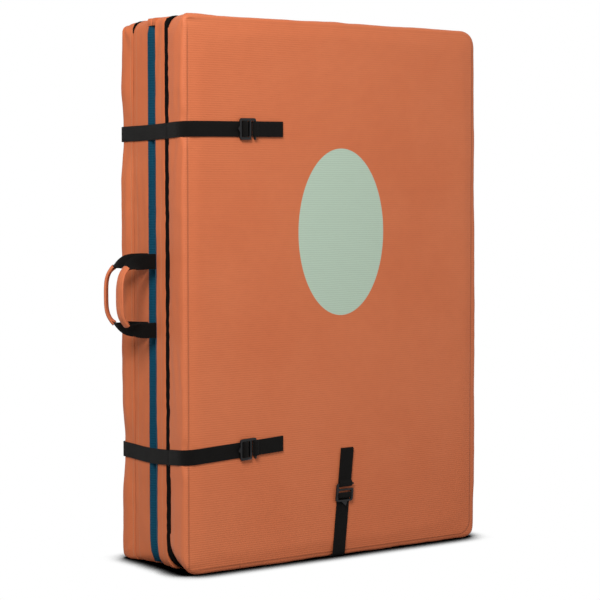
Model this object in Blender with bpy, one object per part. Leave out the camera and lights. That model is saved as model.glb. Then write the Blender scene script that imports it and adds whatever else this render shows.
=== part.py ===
"""A folding bouldering crash pad, shut and standing on one long end.

Two foam halves hinge on the right edge. Webbing straps with hook buckles hold the left and the
bottom shut. Each half has its own carrying loop, and a harness lies on the back.
Metres, +Z up. The origin is the middle of the back half's base, +Y points to the harness.
"""

import math

import bmesh
import bpy
from mathutils import Vector
from mathutils.geometry import tessellate_polygon

# The closed pad
WIDTH = 0.600
HEIGHT = 0.900
HALF_THICKNESS = 0.100
FIT_GAP = 0.0003
ORIGIN_DEPTH = 0.050

# The fabric shell of each half
LANDING_EDGE_RADIUS = 0.012
LANDING_WALL = 0.0015
LANDING_CORNER = 0.003
LANDING_LIFT = 0.0025
TOP_BAND_HEIGHT = 0.015
TOP_BAND_EDGE = 0.004
SIDE_WALL = 0.003
SIDE_CORNER = 0.012
TAPE_WALL = 0.0015
TAPE_RECESS = 0.0015
LID_WALL = 0.003
LID_CORNER = 0.030
TAPE_CORNER = 0.014
LID_EDGE_RADIUS = 0.006
LEAST_CORNER = 0.004
CROWN = 0.003
CROWN_RUN = 0.060
FRONT_LINE_DEPTH = 0.0429
FRONT_LINE_WIDTH = 0.0095
BACK_LINE_DEPTH = 0.0600
BACK_LINE_WIDTH = 0.0018

# The foam inside each half
FOAM_INSET = 0.0035
LANDING_FOAM = 0.012
BASE_FOAM = 0.015

# The hinge fabric on the right edge
LEAF_THICKNESS = 0.001
LEAF_REACH = 0.040
LEAF_END_MARGIN = 0.030

# Webbing and the hook buckles
WEB_WIDTH = 0.025
WEB_THICKNESS = 0.0016
EYE_HALF_LENGTH = 0.0026
EYE_HALF_HEIGHT = 0.0022
BUCKLE_THICKNESS = 0.003
BUCKLE_WIDTH = 0.035
SLOT_WIDTH = 0.0264
BAR = 0.003
TAB_SLOT = 0.0065
MIDDLE_SLOT = 0.006
MIDDLE_BAR = 0.003
HOOK_SLOT = 0.0065
TAB_LENGTH = 0.0065
TAB_WIDTH = 0.012
TAB_RISE = 0.005
BUCKLE_CORNER = 0.004

# Where the closure straps lie
STRAP_BAR_INSET = 0.112
ANCHOR_END_INSET = 0.187
STRAP_ROOT_LENGTH = 0.080
UPPER_BACK_DROP = 0.1870
UPPER_EDGE_DROP = 0.1825
UPPER_ANCHOR_DROP = 0.1810
LOWER_BACK_Z = 0.1845
LOWER_EDGE_Z = 0.1915
LOWER_ANCHOR_Z = 0.1990
BOTTOM_BAR_Z = 0.1045
BOTTOM_ANCHOR_END_Z = 0.1845
BOTTOM_EDGE_X = 0.0006
BOTTOM_ANCHOR_X = 0.0125
BOTTOM_ROOT_REACH = 0.030
GROOVE_SIDE_ROOM = 0.003
PARTING_GAP = 0.0005

# The carrying loops
HANDLE_UPPER_Z = 0.5045
HANDLE_LOWER_Z = 0.3920
HANDLE_REACH = 0.0715
HANDLE_SEAM_DEPTH = 0.0125
HANDLE_THICKNESS = 0.002
BACK_HANDLE_TILT = 37.0
HANDLE_SQUARENESS = 4
GRIP_ANGLE = 50.0
GRIP_BLEND_ANGLE = 14.0
CORE_WIDTH = 0.007
GRIP_HALF_WIDTH = 0.0055
GRIP_HALF_THICKNESS = 0.0040
BORE_HALF_WIDTH = 0.0042
BORE_HALF_THICKNESS = 0.0022

# The harness on the back
SHOULDER_X = 0.090
SHOULDER_DROP = 0.155
SHOULDER_ROOT_LENGTH = 0.055
SHOULDER_PAD_DROP = 0.021
SHOULDER_PAD_SHARE = 0.734
SHOULDER_PAD_WIDTH = 0.060
SHOULDER_PAD_THICKNESS = 0.012
SHOULDER_PAD_EDGE = 0.004
SHOULDER_PAD_CORNER = 0.022
SHOULDER_RAMP = 0.012
SHOULDER_BAR_Z = 0.290
SHOULDER_ANCHOR_LENGTH = 0.060
BELT_Z = 0.130
BELT_WIDTH = 0.038
BELT_ROOT_INSET = 0.060
BELT_ROOT_LENGTH = 0.040
BELT_END_X = 0.040
CLIP_LENGTH = 0.030
CLIP_WIDTH = 0.044
CLIP_THICKNESS = 0.010
CLIP_OVERLAP = 0.012
CLIP_EDGE = 0.0015
PRONG_LENGTH = 0.018
PRONG_WIDTH = 0.007
PRONG_THICKNESS = 0.004
PRONG_SPACING = 0.024
SOCKET_WALL = 0.0025
SOCKET_DEPTH = 0.020

# How finely curves are cut
CORNER_STEPS = 6
EDGE_STEPS = 3
CROWN_STEPS = 5
EYE_STEPS = 3
HANDLE_STEPS = 36
GRIP_SIDES = 14
OVERRUN = 0.005

BACK = 1
FRONT = -1
PARTING_Y = -ORIGIN_DEPTH
FACE_DEPTH = HALF_THICKNESS + CROWN
WEB_LOW = FACE_DEPTH + FIT_GAP
WEB_MIDDLE = WEB_LOW + WEB_THICKNESS / 2
EYE_DEPTH = WEB_LOW + WEB_THICKNESS + EYE_HALF_HEIGHT
EYE_OUTER = EYE_HALF_LENGTH + WEB_THICKNESS
HOOK_BAR_OFFSET = BAR / 2 + MIDDLE_SLOT + MIDDLE_BAR + HOOK_SLOT + BAR / 2
KNUCKLE_GAP = WEB_THICKNESS / 2 + FIT_GAP
SIDE_WEB_X = -WIDTH / 2 - FIT_GAP - WEB_THICKNESS / 2
HINGE_X = WIDTH / 2 + FIT_GAP + LEAF_THICKNESS + FIT_GAP / 2
HANDLE_AXIS_X = -WIDTH / 2 - FIT_GAP - HANDLE_THICKNESS / 2
STRAP_BAR_X = -WIDTH / 2 + STRAP_BAR_INSET
ANCHOR_END_X = -WIDTH / 2 + ANCHOR_END_INSET
SHOULDER_TOP_Z = HEIGHT - SHOULDER_DROP
SHOULDER_PAD_TOP = SHOULDER_TOP_Z - SHOULDER_PAD_DROP
SHOULDER_PAD_BOTTOM = SHOULDER_PAD_TOP - SHOULDER_PAD_SHARE * (SHOULDER_TOP_Z - SHOULDER_BAR_Z)
BELT_ROOT_X = WIDTH / 2 - BELT_ROOT_INSET

# Materials: base colour, roughness, metallic
ORANGE = ("orange_nylon", (0.56, 0.185, 0.075), 0.62, 0.0)
TEAL = ("teal_nylon", (0.008, 0.115, 0.165), 0.60, 0.0)
BLACK = ("black_webbing", (0.012, 0.012, 0.013), 0.80, 0.0)
TAPE = ("black_hook_tape", (0.008, 0.008, 0.009), 0.95, 0.0)
METAL = ("black_anodised_metal", (0.025, 0.025, 0.027), 0.38, 0.9)
PLASTIC = ("black_plastic", (0.018, 0.018, 0.019), 0.45, 0.0)
FIRM_FOAM = ("firm_closed_cell_foam", (0.06, 0.06, 0.065), 0.90, 0.0)
SOFT_FOAM = ("soft_open_cell_foam", (0.70, 0.68, 0.60), 0.95, 0.0)

# The empties that carry the moving bodies, by the body's name
bodies = {}


def clear_scene():
    for found in list(bpy.data.objects):
        bpy.data.objects.remove(found, do_unlink=True)


def material(spec):
    name, colour, roughness, metallic = spec
    made = bpy.data.materials.get(name)
    if made is None:
        made = bpy.data.materials.new(name)
        made.use_nodes = True
        shader = made.node_tree.nodes["Principled BSDF"]
        shader.inputs["Base Color"].default_value = (*colour, 1.0)
        shader.inputs["Roughness"].default_value = roughness
        shader.inputs["Metallic"].default_value = metallic
        made.diffuse_color = (*colour, 1.0)
    return made


def at_depth(side, depth):
    """World y of a place this far from the parting plane, on the back or the front half."""
    return PARTING_Y + side * depth


def body(name, parent, place):
    """An empty on the joint's axis, which carries the pieces that move together."""
    holder = bpy.data.objects.new(name + "_axis", None)
    bpy.context.collection.objects.link(holder)
    origin = Vector(place)
    holder["place"] = tuple(origin)
    if parent:
        holder.parent = bodies[parent]
        origin = origin - Vector(bodies[parent]["place"])
    holder.location = origin
    bodies[name] = holder
    return holder


def add_piece(name, shape, owner, spec, smooth_degrees=35):
    """Makes the object from a bmesh in world coordinates and hangs it on its body."""
    place = Vector(bodies[owner]["place"])
    bmesh.ops.translate(shape, verts=shape.verts, vec=-place)
    bmesh.ops.recalc_face_normals(shape, faces=shape.faces)
    mesh = bpy.data.meshes.new(name)
    shape.to_mesh(mesh)
    shape.free()
    mesh.materials.append(material(spec))
    mesh.shade_smooth()
    mesh.set_sharp_from_angle(angle=math.radians(smooth_degrees))
    made = bpy.data.objects.new(name, mesh)
    bpy.context.collection.objects.link(made)
    made.parent = bodies[owner]
    return made


def arc_points(centre, radii, start, end, steps):
    """Points on an ellipse's arc in a plane, from one angle in degrees to the other."""
    points = []
    for step in range(steps + 1):
        angle = math.radians(start + (end - start) * step / steps)
        points.append((centre[0] + radii[0] * math.cos(angle), centre[1] + radii[1] * math.sin(angle)))
    return points


def rounded_box(left, right, low, high, corner, steps):
    """Outline of a rectangle with round corners, anticlockwise."""
    points = []
    corners = (
        ((right - corner, high - corner), 0),
        ((left + corner, high - corner), 90),
        ((left + corner, low + corner), 180),
        ((right - corner, low + corner), 270),
    )
    for centre, start in corners:
        points += arc_points(centre, (corner, corner), start, start + 90, steps)
    return points


def lofted(loops, ring=False):
    """A body through loops of equal length, closed by two caps, or on itself as a ring."""
    shape = bmesh.new()
    rows = [[shape.verts.new(point) for point in loop] for loop in loops]
    following = rows[1:] + rows[:1] if ring else rows[1:]
    for low, high in zip(rows, following):
        for index in range(len(low)):
            shape.faces.new((low[index - 1], low[index], high[index], high[index - 1]))
    if not ring:
        shape.faces.new(rows[0])
        shape.faces.new(list(reversed(rows[-1])))
    return shape


def plate(outline, holes, place):
    """A flat plate with holes: place turns (u, v, end) into a world point, end being 0 or 1."""
    shape = bmesh.new()
    outlines = [outline, *holes]
    flat = [[Vector((u, v, 0)) for u, v in points] for points in outlines]
    ends = []
    for end in (0, 1):
        ends.append([[shape.verts.new(place(u, v, end)) for u, v in points] for points in outlines])
    for end, loops in enumerate(ends):
        every = [vert for loop in loops for vert in loop]
        for triangle in tessellate_polygon(flat):
            shape.faces.new([every[index] for index in triangle])
    for low, high in zip(*ends):
        for index in range(len(low)):
            shape.faces.new((low[index - 1], low[index], high[index], high[index - 1]))
    return shape


# Shell and foam of one half

def pad_loop(side, inset, depth, corner, bottom=0.0, top=HEIGHT):
    """The half's outline drawn in by an inset, at a depth from the parting plane."""
    y = at_depth(side, depth)
    radius = max(corner - inset, LEAST_CORNER if corner > LEAST_CORNER else corner)
    points = rounded_box(
        -WIDTH / 2 + inset, WIDTH / 2 - inset, bottom + inset, top - inset, radius, CORNER_STEPS
    )
    return [(x, y, z) for x, z in points]


def round_edge(inset, depth, radius, outward):
    """Inset and depth along a quarter round edge that turns from the side to a face."""
    points = []
    for step in range(EDGE_STEPS + 1):
        angle = math.radians(90 * step / EDGE_STEPS)
        turned = radius * (1 - math.cos(angle))
        points.append((inset + turned, depth + outward * radius * math.sin(angle)))
    return points


def crown_steps(start_inset, depth):
    """The face's swell from its round edge up to the flat middle."""
    points = []
    for step in range(1, CROWN_STEPS + 1):
        share = step / CROWN_STEPS
        points.append((start_inset + CROWN_RUN * share, depth + CROWN * (1 - (1 - share) ** 2)))
    return points


def landing_panel(half, side):
    """The teal landing surface, whose round edges show in the groove between the halves."""
    depth = FIT_GAP + LANDING_EDGE_RADIUS
    outer = round_edge(0, depth, LANDING_EDGE_RADIUS, -1)[::-1]
    inner = round_edge(LANDING_WALL, depth, LANDING_EDGE_RADIUS - LANDING_WALL, -1)
    top = HEIGHT - TOP_BAND_HEIGHT
    loops = []
    for inset, place in outer + inner:
        loops.append(pad_loop(side, inset, place, LANDING_CORNER, LANDING_LIFT, top))
    add_piece(half + "_landing_panel", lofted(loops), half + "_half", TEAL)


def top_band(half, side):
    """The orange band over the landing panel's upper end."""
    near = FIT_GAP
    far = FIT_GAP + LANDING_EDGE_RADIUS
    bottom = HEIGHT - TOP_BAND_HEIGHT + FIT_GAP
    steps = [(TOP_BAND_EDGE, near)] + [(0, near + TOP_BAND_EDGE), (0, far)]
    loops = []
    for inset, depth in steps:
        outline = rounded_box(
            -WIDTH / 2 + inset, WIDTH / 2 - inset, bottom, HEIGHT - inset, LANDING_CORNER, CORNER_STEPS
        )
        loops.append([(x, at_depth(side, depth), z) for x, z in outline])
    add_piece(half + "_top_band", lofted(loops), half + "_half", ORANGE)


def side_band(name, half, side, near, far, recess, wall, corner, spec):
    """A band round the half's four sides, open on both faces."""
    steps = [(recess, near), (recess, far), (recess + wall, far), (recess + wall, near)]
    loops = [pad_loop(side, inset, depth, corner) for inset, depth in steps]
    return add_piece(half + name, lofted(loops, ring=True), half + "_half", spec)


def lid(half, side, rim):
    """The outer cover: short walls, round corners and a face with a slight crown."""
    shoulder = HALF_THICKNESS - LID_EDGE_RADIUS
    outer = round_edge(0, shoulder, LID_EDGE_RADIUS, 1) + crown_steps(LID_EDGE_RADIUS, HALF_THICKNESS)
    inner_radius = LID_EDGE_RADIUS - LID_WALL
    inner = round_edge(LID_WALL, shoulder, inner_radius, 1)
    inner += crown_steps(LID_EDGE_RADIUS, HALF_THICKNESS - LID_WALL)
    steps = outer[::-1] + [(0, rim), (LID_WALL, rim)] + inner
    loops = [pad_loop(side, inset, depth, LID_CORNER) for inset, depth in steps]
    return add_piece(half + "_lid", lofted(loops), half + "_half", ORANGE)


def foams(half, side):
    """Firm landing foam, soft core and firm base foam, stacked with a fitting gap."""
    start = FIT_GAP + LANDING_WALL + FIT_GAP
    end = start + LANDING_FOAM
    edge = LANDING_EDGE_RADIUS - FOAM_INSET
    steps = round_edge(FOAM_INSET, start + edge, edge, -1)[::-1] + [(FOAM_INSET, end)]
    top = HEIGHT - TOP_BAND_HEIGHT
    loops = [pad_loop(side, inset, depth, LID_CORNER, LANDING_LIFT, top) for inset, depth in steps]
    add_piece(half + "_landing_foam", lofted(loops), half + "_half", FIRM_FOAM)

    base_start = HALF_THICKNESS - LID_WALL - FIT_GAP - BASE_FOAM
    steps = [(FOAM_INSET, end + FIT_GAP), (FOAM_INSET, base_start - FIT_GAP)]
    loops = [pad_loop(side, inset, depth, LID_CORNER) for inset, depth in steps]
    add_piece(half + "_core_foam", lofted(loops), half + "_half", SOFT_FOAM)

    shoulder = HALF_THICKNESS - LID_EDGE_RADIUS
    radius = LID_EDGE_RADIUS - FOAM_INSET
    face = shoulder + radius
    steps = [(FOAM_INSET, base_start)] + round_edge(FOAM_INSET, shoulder, radius, 1)
    steps += crown_steps(LID_EDGE_RADIUS, face)
    loops = [pad_loop(side, inset, depth, LID_CORNER) for inset, depth in steps]
    add_piece(half + "_base_foam", lofted(loops), half + "_half", FIRM_FOAM)


def hinge_leaf(half, side):
    """One half of the hinge fabric, flat on the right side and free at the fold."""
    inner = WIDTH / 2 + FIT_GAP
    near = at_depth(side, FIT_GAP)
    far = at_depth(side, LEAF_REACH)
    outline = [(inner, near), (inner + LEAF_THICKNESS, near), (inner + LEAF_THICKNESS, far), (inner, far)]
    low = LEAF_END_MARGIN
    high = HEIGHT - LEAF_END_MARGIN
    shape = plate(outline, [], lambda u, v, end: (u, v, high if end else low))
    add_piece(half + "_hinge_leaf", shape, half + "_half", ORANGE)


def half_of_pad(half, side, line_depth, line_width):
    """One half, and those of its pieces that the bottom strap runs under."""
    panel_end = FIT_GAP + LANDING_EDGE_RADIUS
    landing_panel(half, side)
    top_band(half, side)
    near = panel_end + FIT_GAP
    sidewall = side_band("_sidewall", half, side, near, line_depth, 0, SIDE_WALL, SIDE_CORNER, ORANGE)
    near = line_depth + FIT_GAP
    far = line_depth + line_width - FIT_GAP
    tape = side_band("_closure_tape", half, side, near, far, TAPE_RECESS, TAPE_WALL, TAPE_CORNER, TAPE)
    cover = lid(half, side, line_depth + line_width)
    foams(half, side)
    hinge_leaf(half, side)
    return sidewall, tape, cover


def subtract(target, cutter):
    """Cuts a shape out of a piece and keeps the shape as a guide."""
    cutter.hide_render = True
    cutter.display_type = "WIRE"
    cut = target.modifiers.new(cutter.name, "BOOLEAN")
    cut.operation = "DIFFERENCE"
    cut.object = cutter


def cut_strap_groove(pieces):
    """The room under the pad for the bottom strap and its sewn end."""
    reach = WEB_WIDTH / 2 + GROOVE_SIDE_ROOM
    near = at_depth(FRONT, FACE_DEPTH + OVERRUN)
    far = at_depth(BACK, BOTTOM_ROOT_REACH + GROOVE_SIDE_ROOM)
    middle = BOTTOM_EDGE_X
    outline = [(middle - reach, near), (middle + reach, near), (middle + reach, far), (middle - reach, far)]
    top = FIT_GAP + WEB_THICKNESS + FIT_GAP
    shape = plate(outline, [], lambda u, v, end: (u, v, top if end else -OVERRUN))
    cutter = add_piece("strap_groove", shape, "back_half", TAPE)
    for piece in pieces:
        subtract(piece, cutter)


# Webbing pieces: profiles in (along, depth), widened by half the webbing each way

def eye_profile(bar, far_end, thickness, toward, round_far_end):
    """A strip that ends in an eye round a bar, and the eye's hole.

    toward is the direction from the far end to the bar. The far end is square, or a half
    round whose centre is on the joint's axis."""
    low = WEB_LOW
    high = WEB_LOW + 2 * (WEB_THICKNESS + EYE_HALF_HEIGHT)
    corner = WEB_THICKNESS
    outer = rounded_box(-EYE_OUTER, EYE_OUTER, low, high, corner, EYE_STEPS)
    ring = [(bar + toward * u, v) for u, v in outer]
    quarter = EYE_STEPS + 1
    upper_far = ring[quarter : 2 * quarter]
    upper_near = ring[:quarter]
    lower_near = ring[3 * quarter :]
    if round_far_end:
        middle = low + thickness / 2
        ends = arc_points((0, middle), (thickness / 2, thickness / 2), 90, 270, 2 * EYE_STEPS)
        strip_end = [(far_end + toward * u, v) for u, v in ends]
    else:
        strip_end = [(far_end, low + thickness), (far_end, low)]
    notch = (bar - toward * EYE_OUTER, low + thickness)
    outline = strip_end + lower_near + upper_near + upper_far + [notch]
    hole = rounded_box(
        -EYE_HALF_LENGTH,
        EYE_HALF_LENGTH,
        low + WEB_THICKNESS,
        high - WEB_THICKNESS,
        WEB_THICKNESS / 2,
        EYE_STEPS,
    )
    return outline, [(bar + toward * u, v) for u, v in hole]


def strip_profile(start, end, depth):
    """A plain strip with a half round on the axis at its start and a square end."""
    half = WEB_THICKNESS / 2
    sign = 1 if end > start else -1
    turned = arc_points((0, depth), (half, half), 90, 270, 2 * EYE_STEPS)
    return [(start + sign * u, v) for u, v in turned] + [(end, depth - half), (end, depth + half)]


def across_x(side, slope_start, level, slope=0.0, width=WEB_WIDTH):
    """Places a profile of (x, depth), widened along z, on a line that may slant."""
    def place(u, v, end):
        z = level + slope * (u - slope_start) + (end - 0.5) * width
        return (u, at_depth(side, v), z)
    return place


def across_z(side, slope_start, level, slope=0.0, width=WEB_WIDTH):
    """Places a profile of (z, depth), widened along x."""
    def place(u, v, end):
        x = level + slope * (u - slope_start) + (end - 0.5) * width
        return (x, at_depth(side, v), u)
    return place


def buckle(name, owner, bar, toward, open_side, place_at):
    """A hook buckle: lift tab, two strap slots, and a hook slot that is open on one side."""
    wide = BUCKLE_WIDTH / 2
    slot = SLOT_WIDTH / 2
    tab_root = -(BAR / 2 + TAB_SLOT + BAR)
    hook_start = BAR / 2 + MIDDLE_SLOT + MIDDLE_BAR
    hook_end = hook_start + HOOK_SLOT
    far = hook_end + BAR
    corner = BUCKLE_CORNER
    tip = BAR / 2
    outline = [(tab_root - TAB_LENGTH, 0), (tab_root, -TAB_WIDTH / 2)]
    outline += arc_points((tab_root + corner, -wide + corner), (corner, corner), 180, 270, EYE_STEPS)
    outline += arc_points((far - corner, -wide + corner), (corner, corner), 270, 360, EYE_STEPS)
    outline += arc_points((far - tip, wide - tip), (tip, tip), 0, 180, 2 * EYE_STEPS)
    outline += [(hook_end, -slot), (hook_start, -slot), (hook_start, wide)]
    outline += arc_points((tab_root + corner, wide - corner), (corner, corner), 90, 180, EYE_STEPS)
    outline += [(tab_root, TAB_WIDTH / 2)]
    first = rounded_box(-BAR / 2 - TAB_SLOT, -BAR / 2, -slot, slot, WEB_THICKNESS, EYE_STEPS)
    second = rounded_box(BAR / 2, BAR / 2 + MIDDLE_SLOT, -slot, slot, WEB_THICKNESS, EYE_STEPS)

    def place(u, v, end):
        rise = TAB_RISE if u < tab_root - TAB_LENGTH / 2 else 0
        depth = EYE_DEPTH + (end - 0.5) * BUCKLE_THICKNESS + rise
        return place_at(bar + toward * u, v * open_side, depth)

    add_piece(name, plate(outline, [first, second], place), owner, METAL)


def closure_strap(name, back_z, edge_z, anchor_z):
    """Sewn on the back, round the left side and hooked to a loop on the front.

    The three heights are its middle at the back left edge, the front left edge and the hook."""
    side_run = 2 * WEB_MIDDLE
    side_slope = (back_z - edge_z) / side_run
    hook_bar = STRAP_BAR_X + HOOK_BAR_OFFSET
    front_slope = (anchor_z - edge_z) / (hook_bar - SIDE_WEB_X)

    root_start = SIDE_WEB_X + KNUCKLE_GAP
    root_end = root_start + STRAP_ROOT_LENGTH
    half = WEB_THICKNESS / 2
    outline = [
        (root_start, WEB_MIDDLE - half),
        (root_end, WEB_MIDDLE - half),
        (root_end, WEB_MIDDLE + half),
        (root_start, WEB_MIDDLE + half),
    ]
    shape = plate(outline, [], across_x(BACK, SIDE_WEB_X, back_z))
    add_piece(name + "_strap_root", shape, "back_half", BLACK)

    back_y = at_depth(BACK, WEB_MIDDLE)
    front_y = at_depth(FRONT, WEB_MIDDLE)
    body(name + "_strap_side", "back_half", (SIDE_WEB_X, back_y, back_z))
    body(name + "_strap_front", name + "_strap_side", (SIDE_WEB_X, front_y, edge_z))

    turned = arc_points((SIDE_WEB_X, back_y), (half, half), 0, 180, 2 * EYE_STEPS)
    stop = front_y + KNUCKLE_GAP
    outline = turned + [(SIDE_WEB_X - half, stop), (SIDE_WEB_X + half, stop)]

    def along_side(u, v, end):
        return (u, v, edge_z + side_slope * (v - front_y) + (end - 0.5) * WEB_WIDTH)

    add_piece(name + "_strap_side", plate(outline, [], along_side), name + "_strap_side", BLACK)

    slanted = across_x(FRONT, SIDE_WEB_X, edge_z, front_slope)
    outline, hole = eye_profile(STRAP_BAR_X, SIDE_WEB_X, WEB_THICKNESS, 1, True)
    add_piece(name + "_strap_front", plate(outline, [hole], slanted), name + "_strap_front", BLACK)

    outline, hole = eye_profile(hook_bar, ANCHOR_END_X, 2 * WEB_THICKNESS, -1, False)
    add_piece(name + "_anchor_loop", plate(outline, [hole], slanted), "front_half", BLACK)

    def on_front(u, v, depth):
        z = edge_z + front_slope * (u - SIDE_WEB_X) + v
        return (u, at_depth(FRONT, depth), z)

    buckle(name + "_buckle", name + "_strap_front", STRAP_BAR_X, 1, -1, on_front)


def bottom_strap():
    """Hooked low on the front face and run under the pad to the back half's base."""
    hook_bar = BOTTOM_BAR_Z + HOOK_BAR_OFFSET
    edge_z = FIT_GAP + WEB_THICKNESS / 2
    slope = (BOTTOM_ANCHOR_X - BOTTOM_EDGE_X) / (hook_bar - edge_z)
    slanted = across_z(FRONT, edge_z, BOTTOM_EDGE_X, slope)
    edge_y = at_depth(FRONT, WEB_MIDDLE)
    body("bottom_strap_front", "front_half", (BOTTOM_ANCHOR_X, at_depth(FRONT, EYE_DEPTH), hook_bar))
    body("bottom_strap_under", "bottom_strap_front", (BOTTOM_EDGE_X, edge_y, edge_z))

    outline, hole = eye_profile(hook_bar, BOTTOM_ANCHOR_END_Z, 2 * WEB_THICKNESS, -1, False)
    add_piece("bottom_anchor_loop", plate(outline, [hole], slanted), "front_half", BLACK)

    outline, hole = eye_profile(BOTTOM_BAR_Z, edge_z, WEB_THICKNESS, 1, True)
    add_piece("bottom_strap_front", plate(outline, [hole], slanted), "bottom_strap_front", BLACK)

    def on_front(u, v, depth):
        return (BOTTOM_EDGE_X + slope * (u - edge_z) + v, at_depth(FRONT, depth), u)

    buckle("bottom_buckle", "bottom_strap_front", BOTTOM_BAR_Z, 1, 1, on_front)

    def under(u, v, end):
        return (BOTTOM_EDGE_X + (end - 0.5) * WEB_WIDTH, u, v)

    half = WEB_THICKNESS / 2
    runs = (
        ("bottom_strap_under", "bottom_strap_under", edge_y + KNUCKLE_GAP, at_depth(FRONT, PARTING_GAP)),
        ("bottom_strap_root", "back_half", at_depth(BACK, PARTING_GAP), at_depth(BACK, BOTTOM_ROOT_REACH)),
    )
    for name, owner, near, far in runs:
        outline = [(near, edge_z - half), (far, edge_z - half), (far, edge_z + half), (near, edge_z + half)]
        add_piece(name, plate(outline, [], under), owner, BLACK)


# Carrying loops: half a squared ellipse from the upper to the lower root

def handle_frames(start, end, steps):
    """Reach, height and outward normal along the loop, at angles from the grip's middle."""
    middle = (HANDLE_UPPER_Z + HANDLE_LOWER_Z) / 2
    rise = (HANDLE_UPPER_Z - HANDLE_LOWER_Z) / 2
    frames = []
    for step in range(steps + 1):
        degrees = start + (end - start) * step / steps
        angle = math.radians(degrees)
        power = HANDLE_SQUARENESS
        size = (abs(math.cos(angle)) ** power + abs(math.sin(angle)) ** power) ** (-1 / power)
        out = size * math.cos(angle)
        up = size * math.sin(angle)
        slope_out = abs(out) ** (power - 1) / HANDLE_REACH
        slope_up = math.copysign(abs(up) ** (power - 1), up) / rise
        normal = Vector((slope_out, slope_up)).normalized()
        frames.append((degrees, HANDLE_REACH * out, middle + rise * up, normal))
    return frames


def handle(half, side, tilt):
    """A webbing loop with a sleeved grip, tilted about its upright root."""
    owner = half + "_handle"
    root_y = at_depth(side, HANDLE_SEAM_DEPTH)
    middle = (HANDLE_UPPER_Z + HANDLE_LOWER_Z) / 2
    body(owner, half + "_half", (HANDLE_AXIS_X, root_y, middle))
    lean = math.radians(tilt)
    out = Vector((-math.cos(lean), math.sin(lean), 0))
    across = Vector((math.sin(lean), math.cos(lean), 0))

    def point(frame, in_plane, sideways):
        _, reach, height, normal = frame
        spot = out * (reach + normal.x * in_plane) + across * sideways
        return (HANDLE_AXIS_X + spot.x, root_y + spot.y, height + normal.y * in_plane)

    def web_loop(frame, wide, thin):
        corners = ((-wide, -thin), (wide, -thin), (wide, thin), (-wide, thin))
        return [point(frame, along, sideways) for along, sideways in corners]

    thin = HANDLE_THICKNESS / 2
    frames = handle_frames(90, -90, HANDLE_STEPS)
    loops = []
    for frame in frames:
        blend = (abs(frame[0]) - GRIP_ANGLE) / GRIP_BLEND_ANGLE
        blend = min(max(blend, 0), 1)
        wide = (CORE_WIDTH + (WEB_WIDTH - CORE_WIDTH) * blend) / 2
        loops.append(web_loop(frame, wide, thin))
    for step in range(1, EYE_STEPS):
        angle = math.radians(90 * step / EYE_STEPS)
        first, last = [
            (frame[0], -thin * math.sin(angle), *frame[2:]) for frame in (frames[0], frames[-1])
        ]
        loops.insert(0, web_loop(first, WEB_WIDTH / 2, thin * math.cos(angle)))
        loops.append(web_loop(last, WEB_WIDTH / 2, thin * math.cos(angle)))
    add_piece(half + "_handle_webbing", lofted(loops), owner, BLACK)

    outer = []
    inner = []
    grip_steps = round(HANDLE_STEPS * GRIP_ANGLE / 90)
    for frame in handle_frames(GRIP_ANGLE, -GRIP_ANGLE, grip_steps):
        for rings, wide, thick in (
            (outer, GRIP_HALF_WIDTH, GRIP_HALF_THICKNESS),
            (inner, BORE_HALF_WIDTH, BORE_HALF_THICKNESS),
        ):
            section = arc_points((0, 0), (wide, thick), 0, 360, GRIP_SIDES)[:-1]
            rings.append([point(frame, along, sideways) for along, sideways in section])
    add_piece(half + "_handle_grip", lofted(outer + inner[::-1], ring=True), owner, ORANGE)


# The harness

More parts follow.
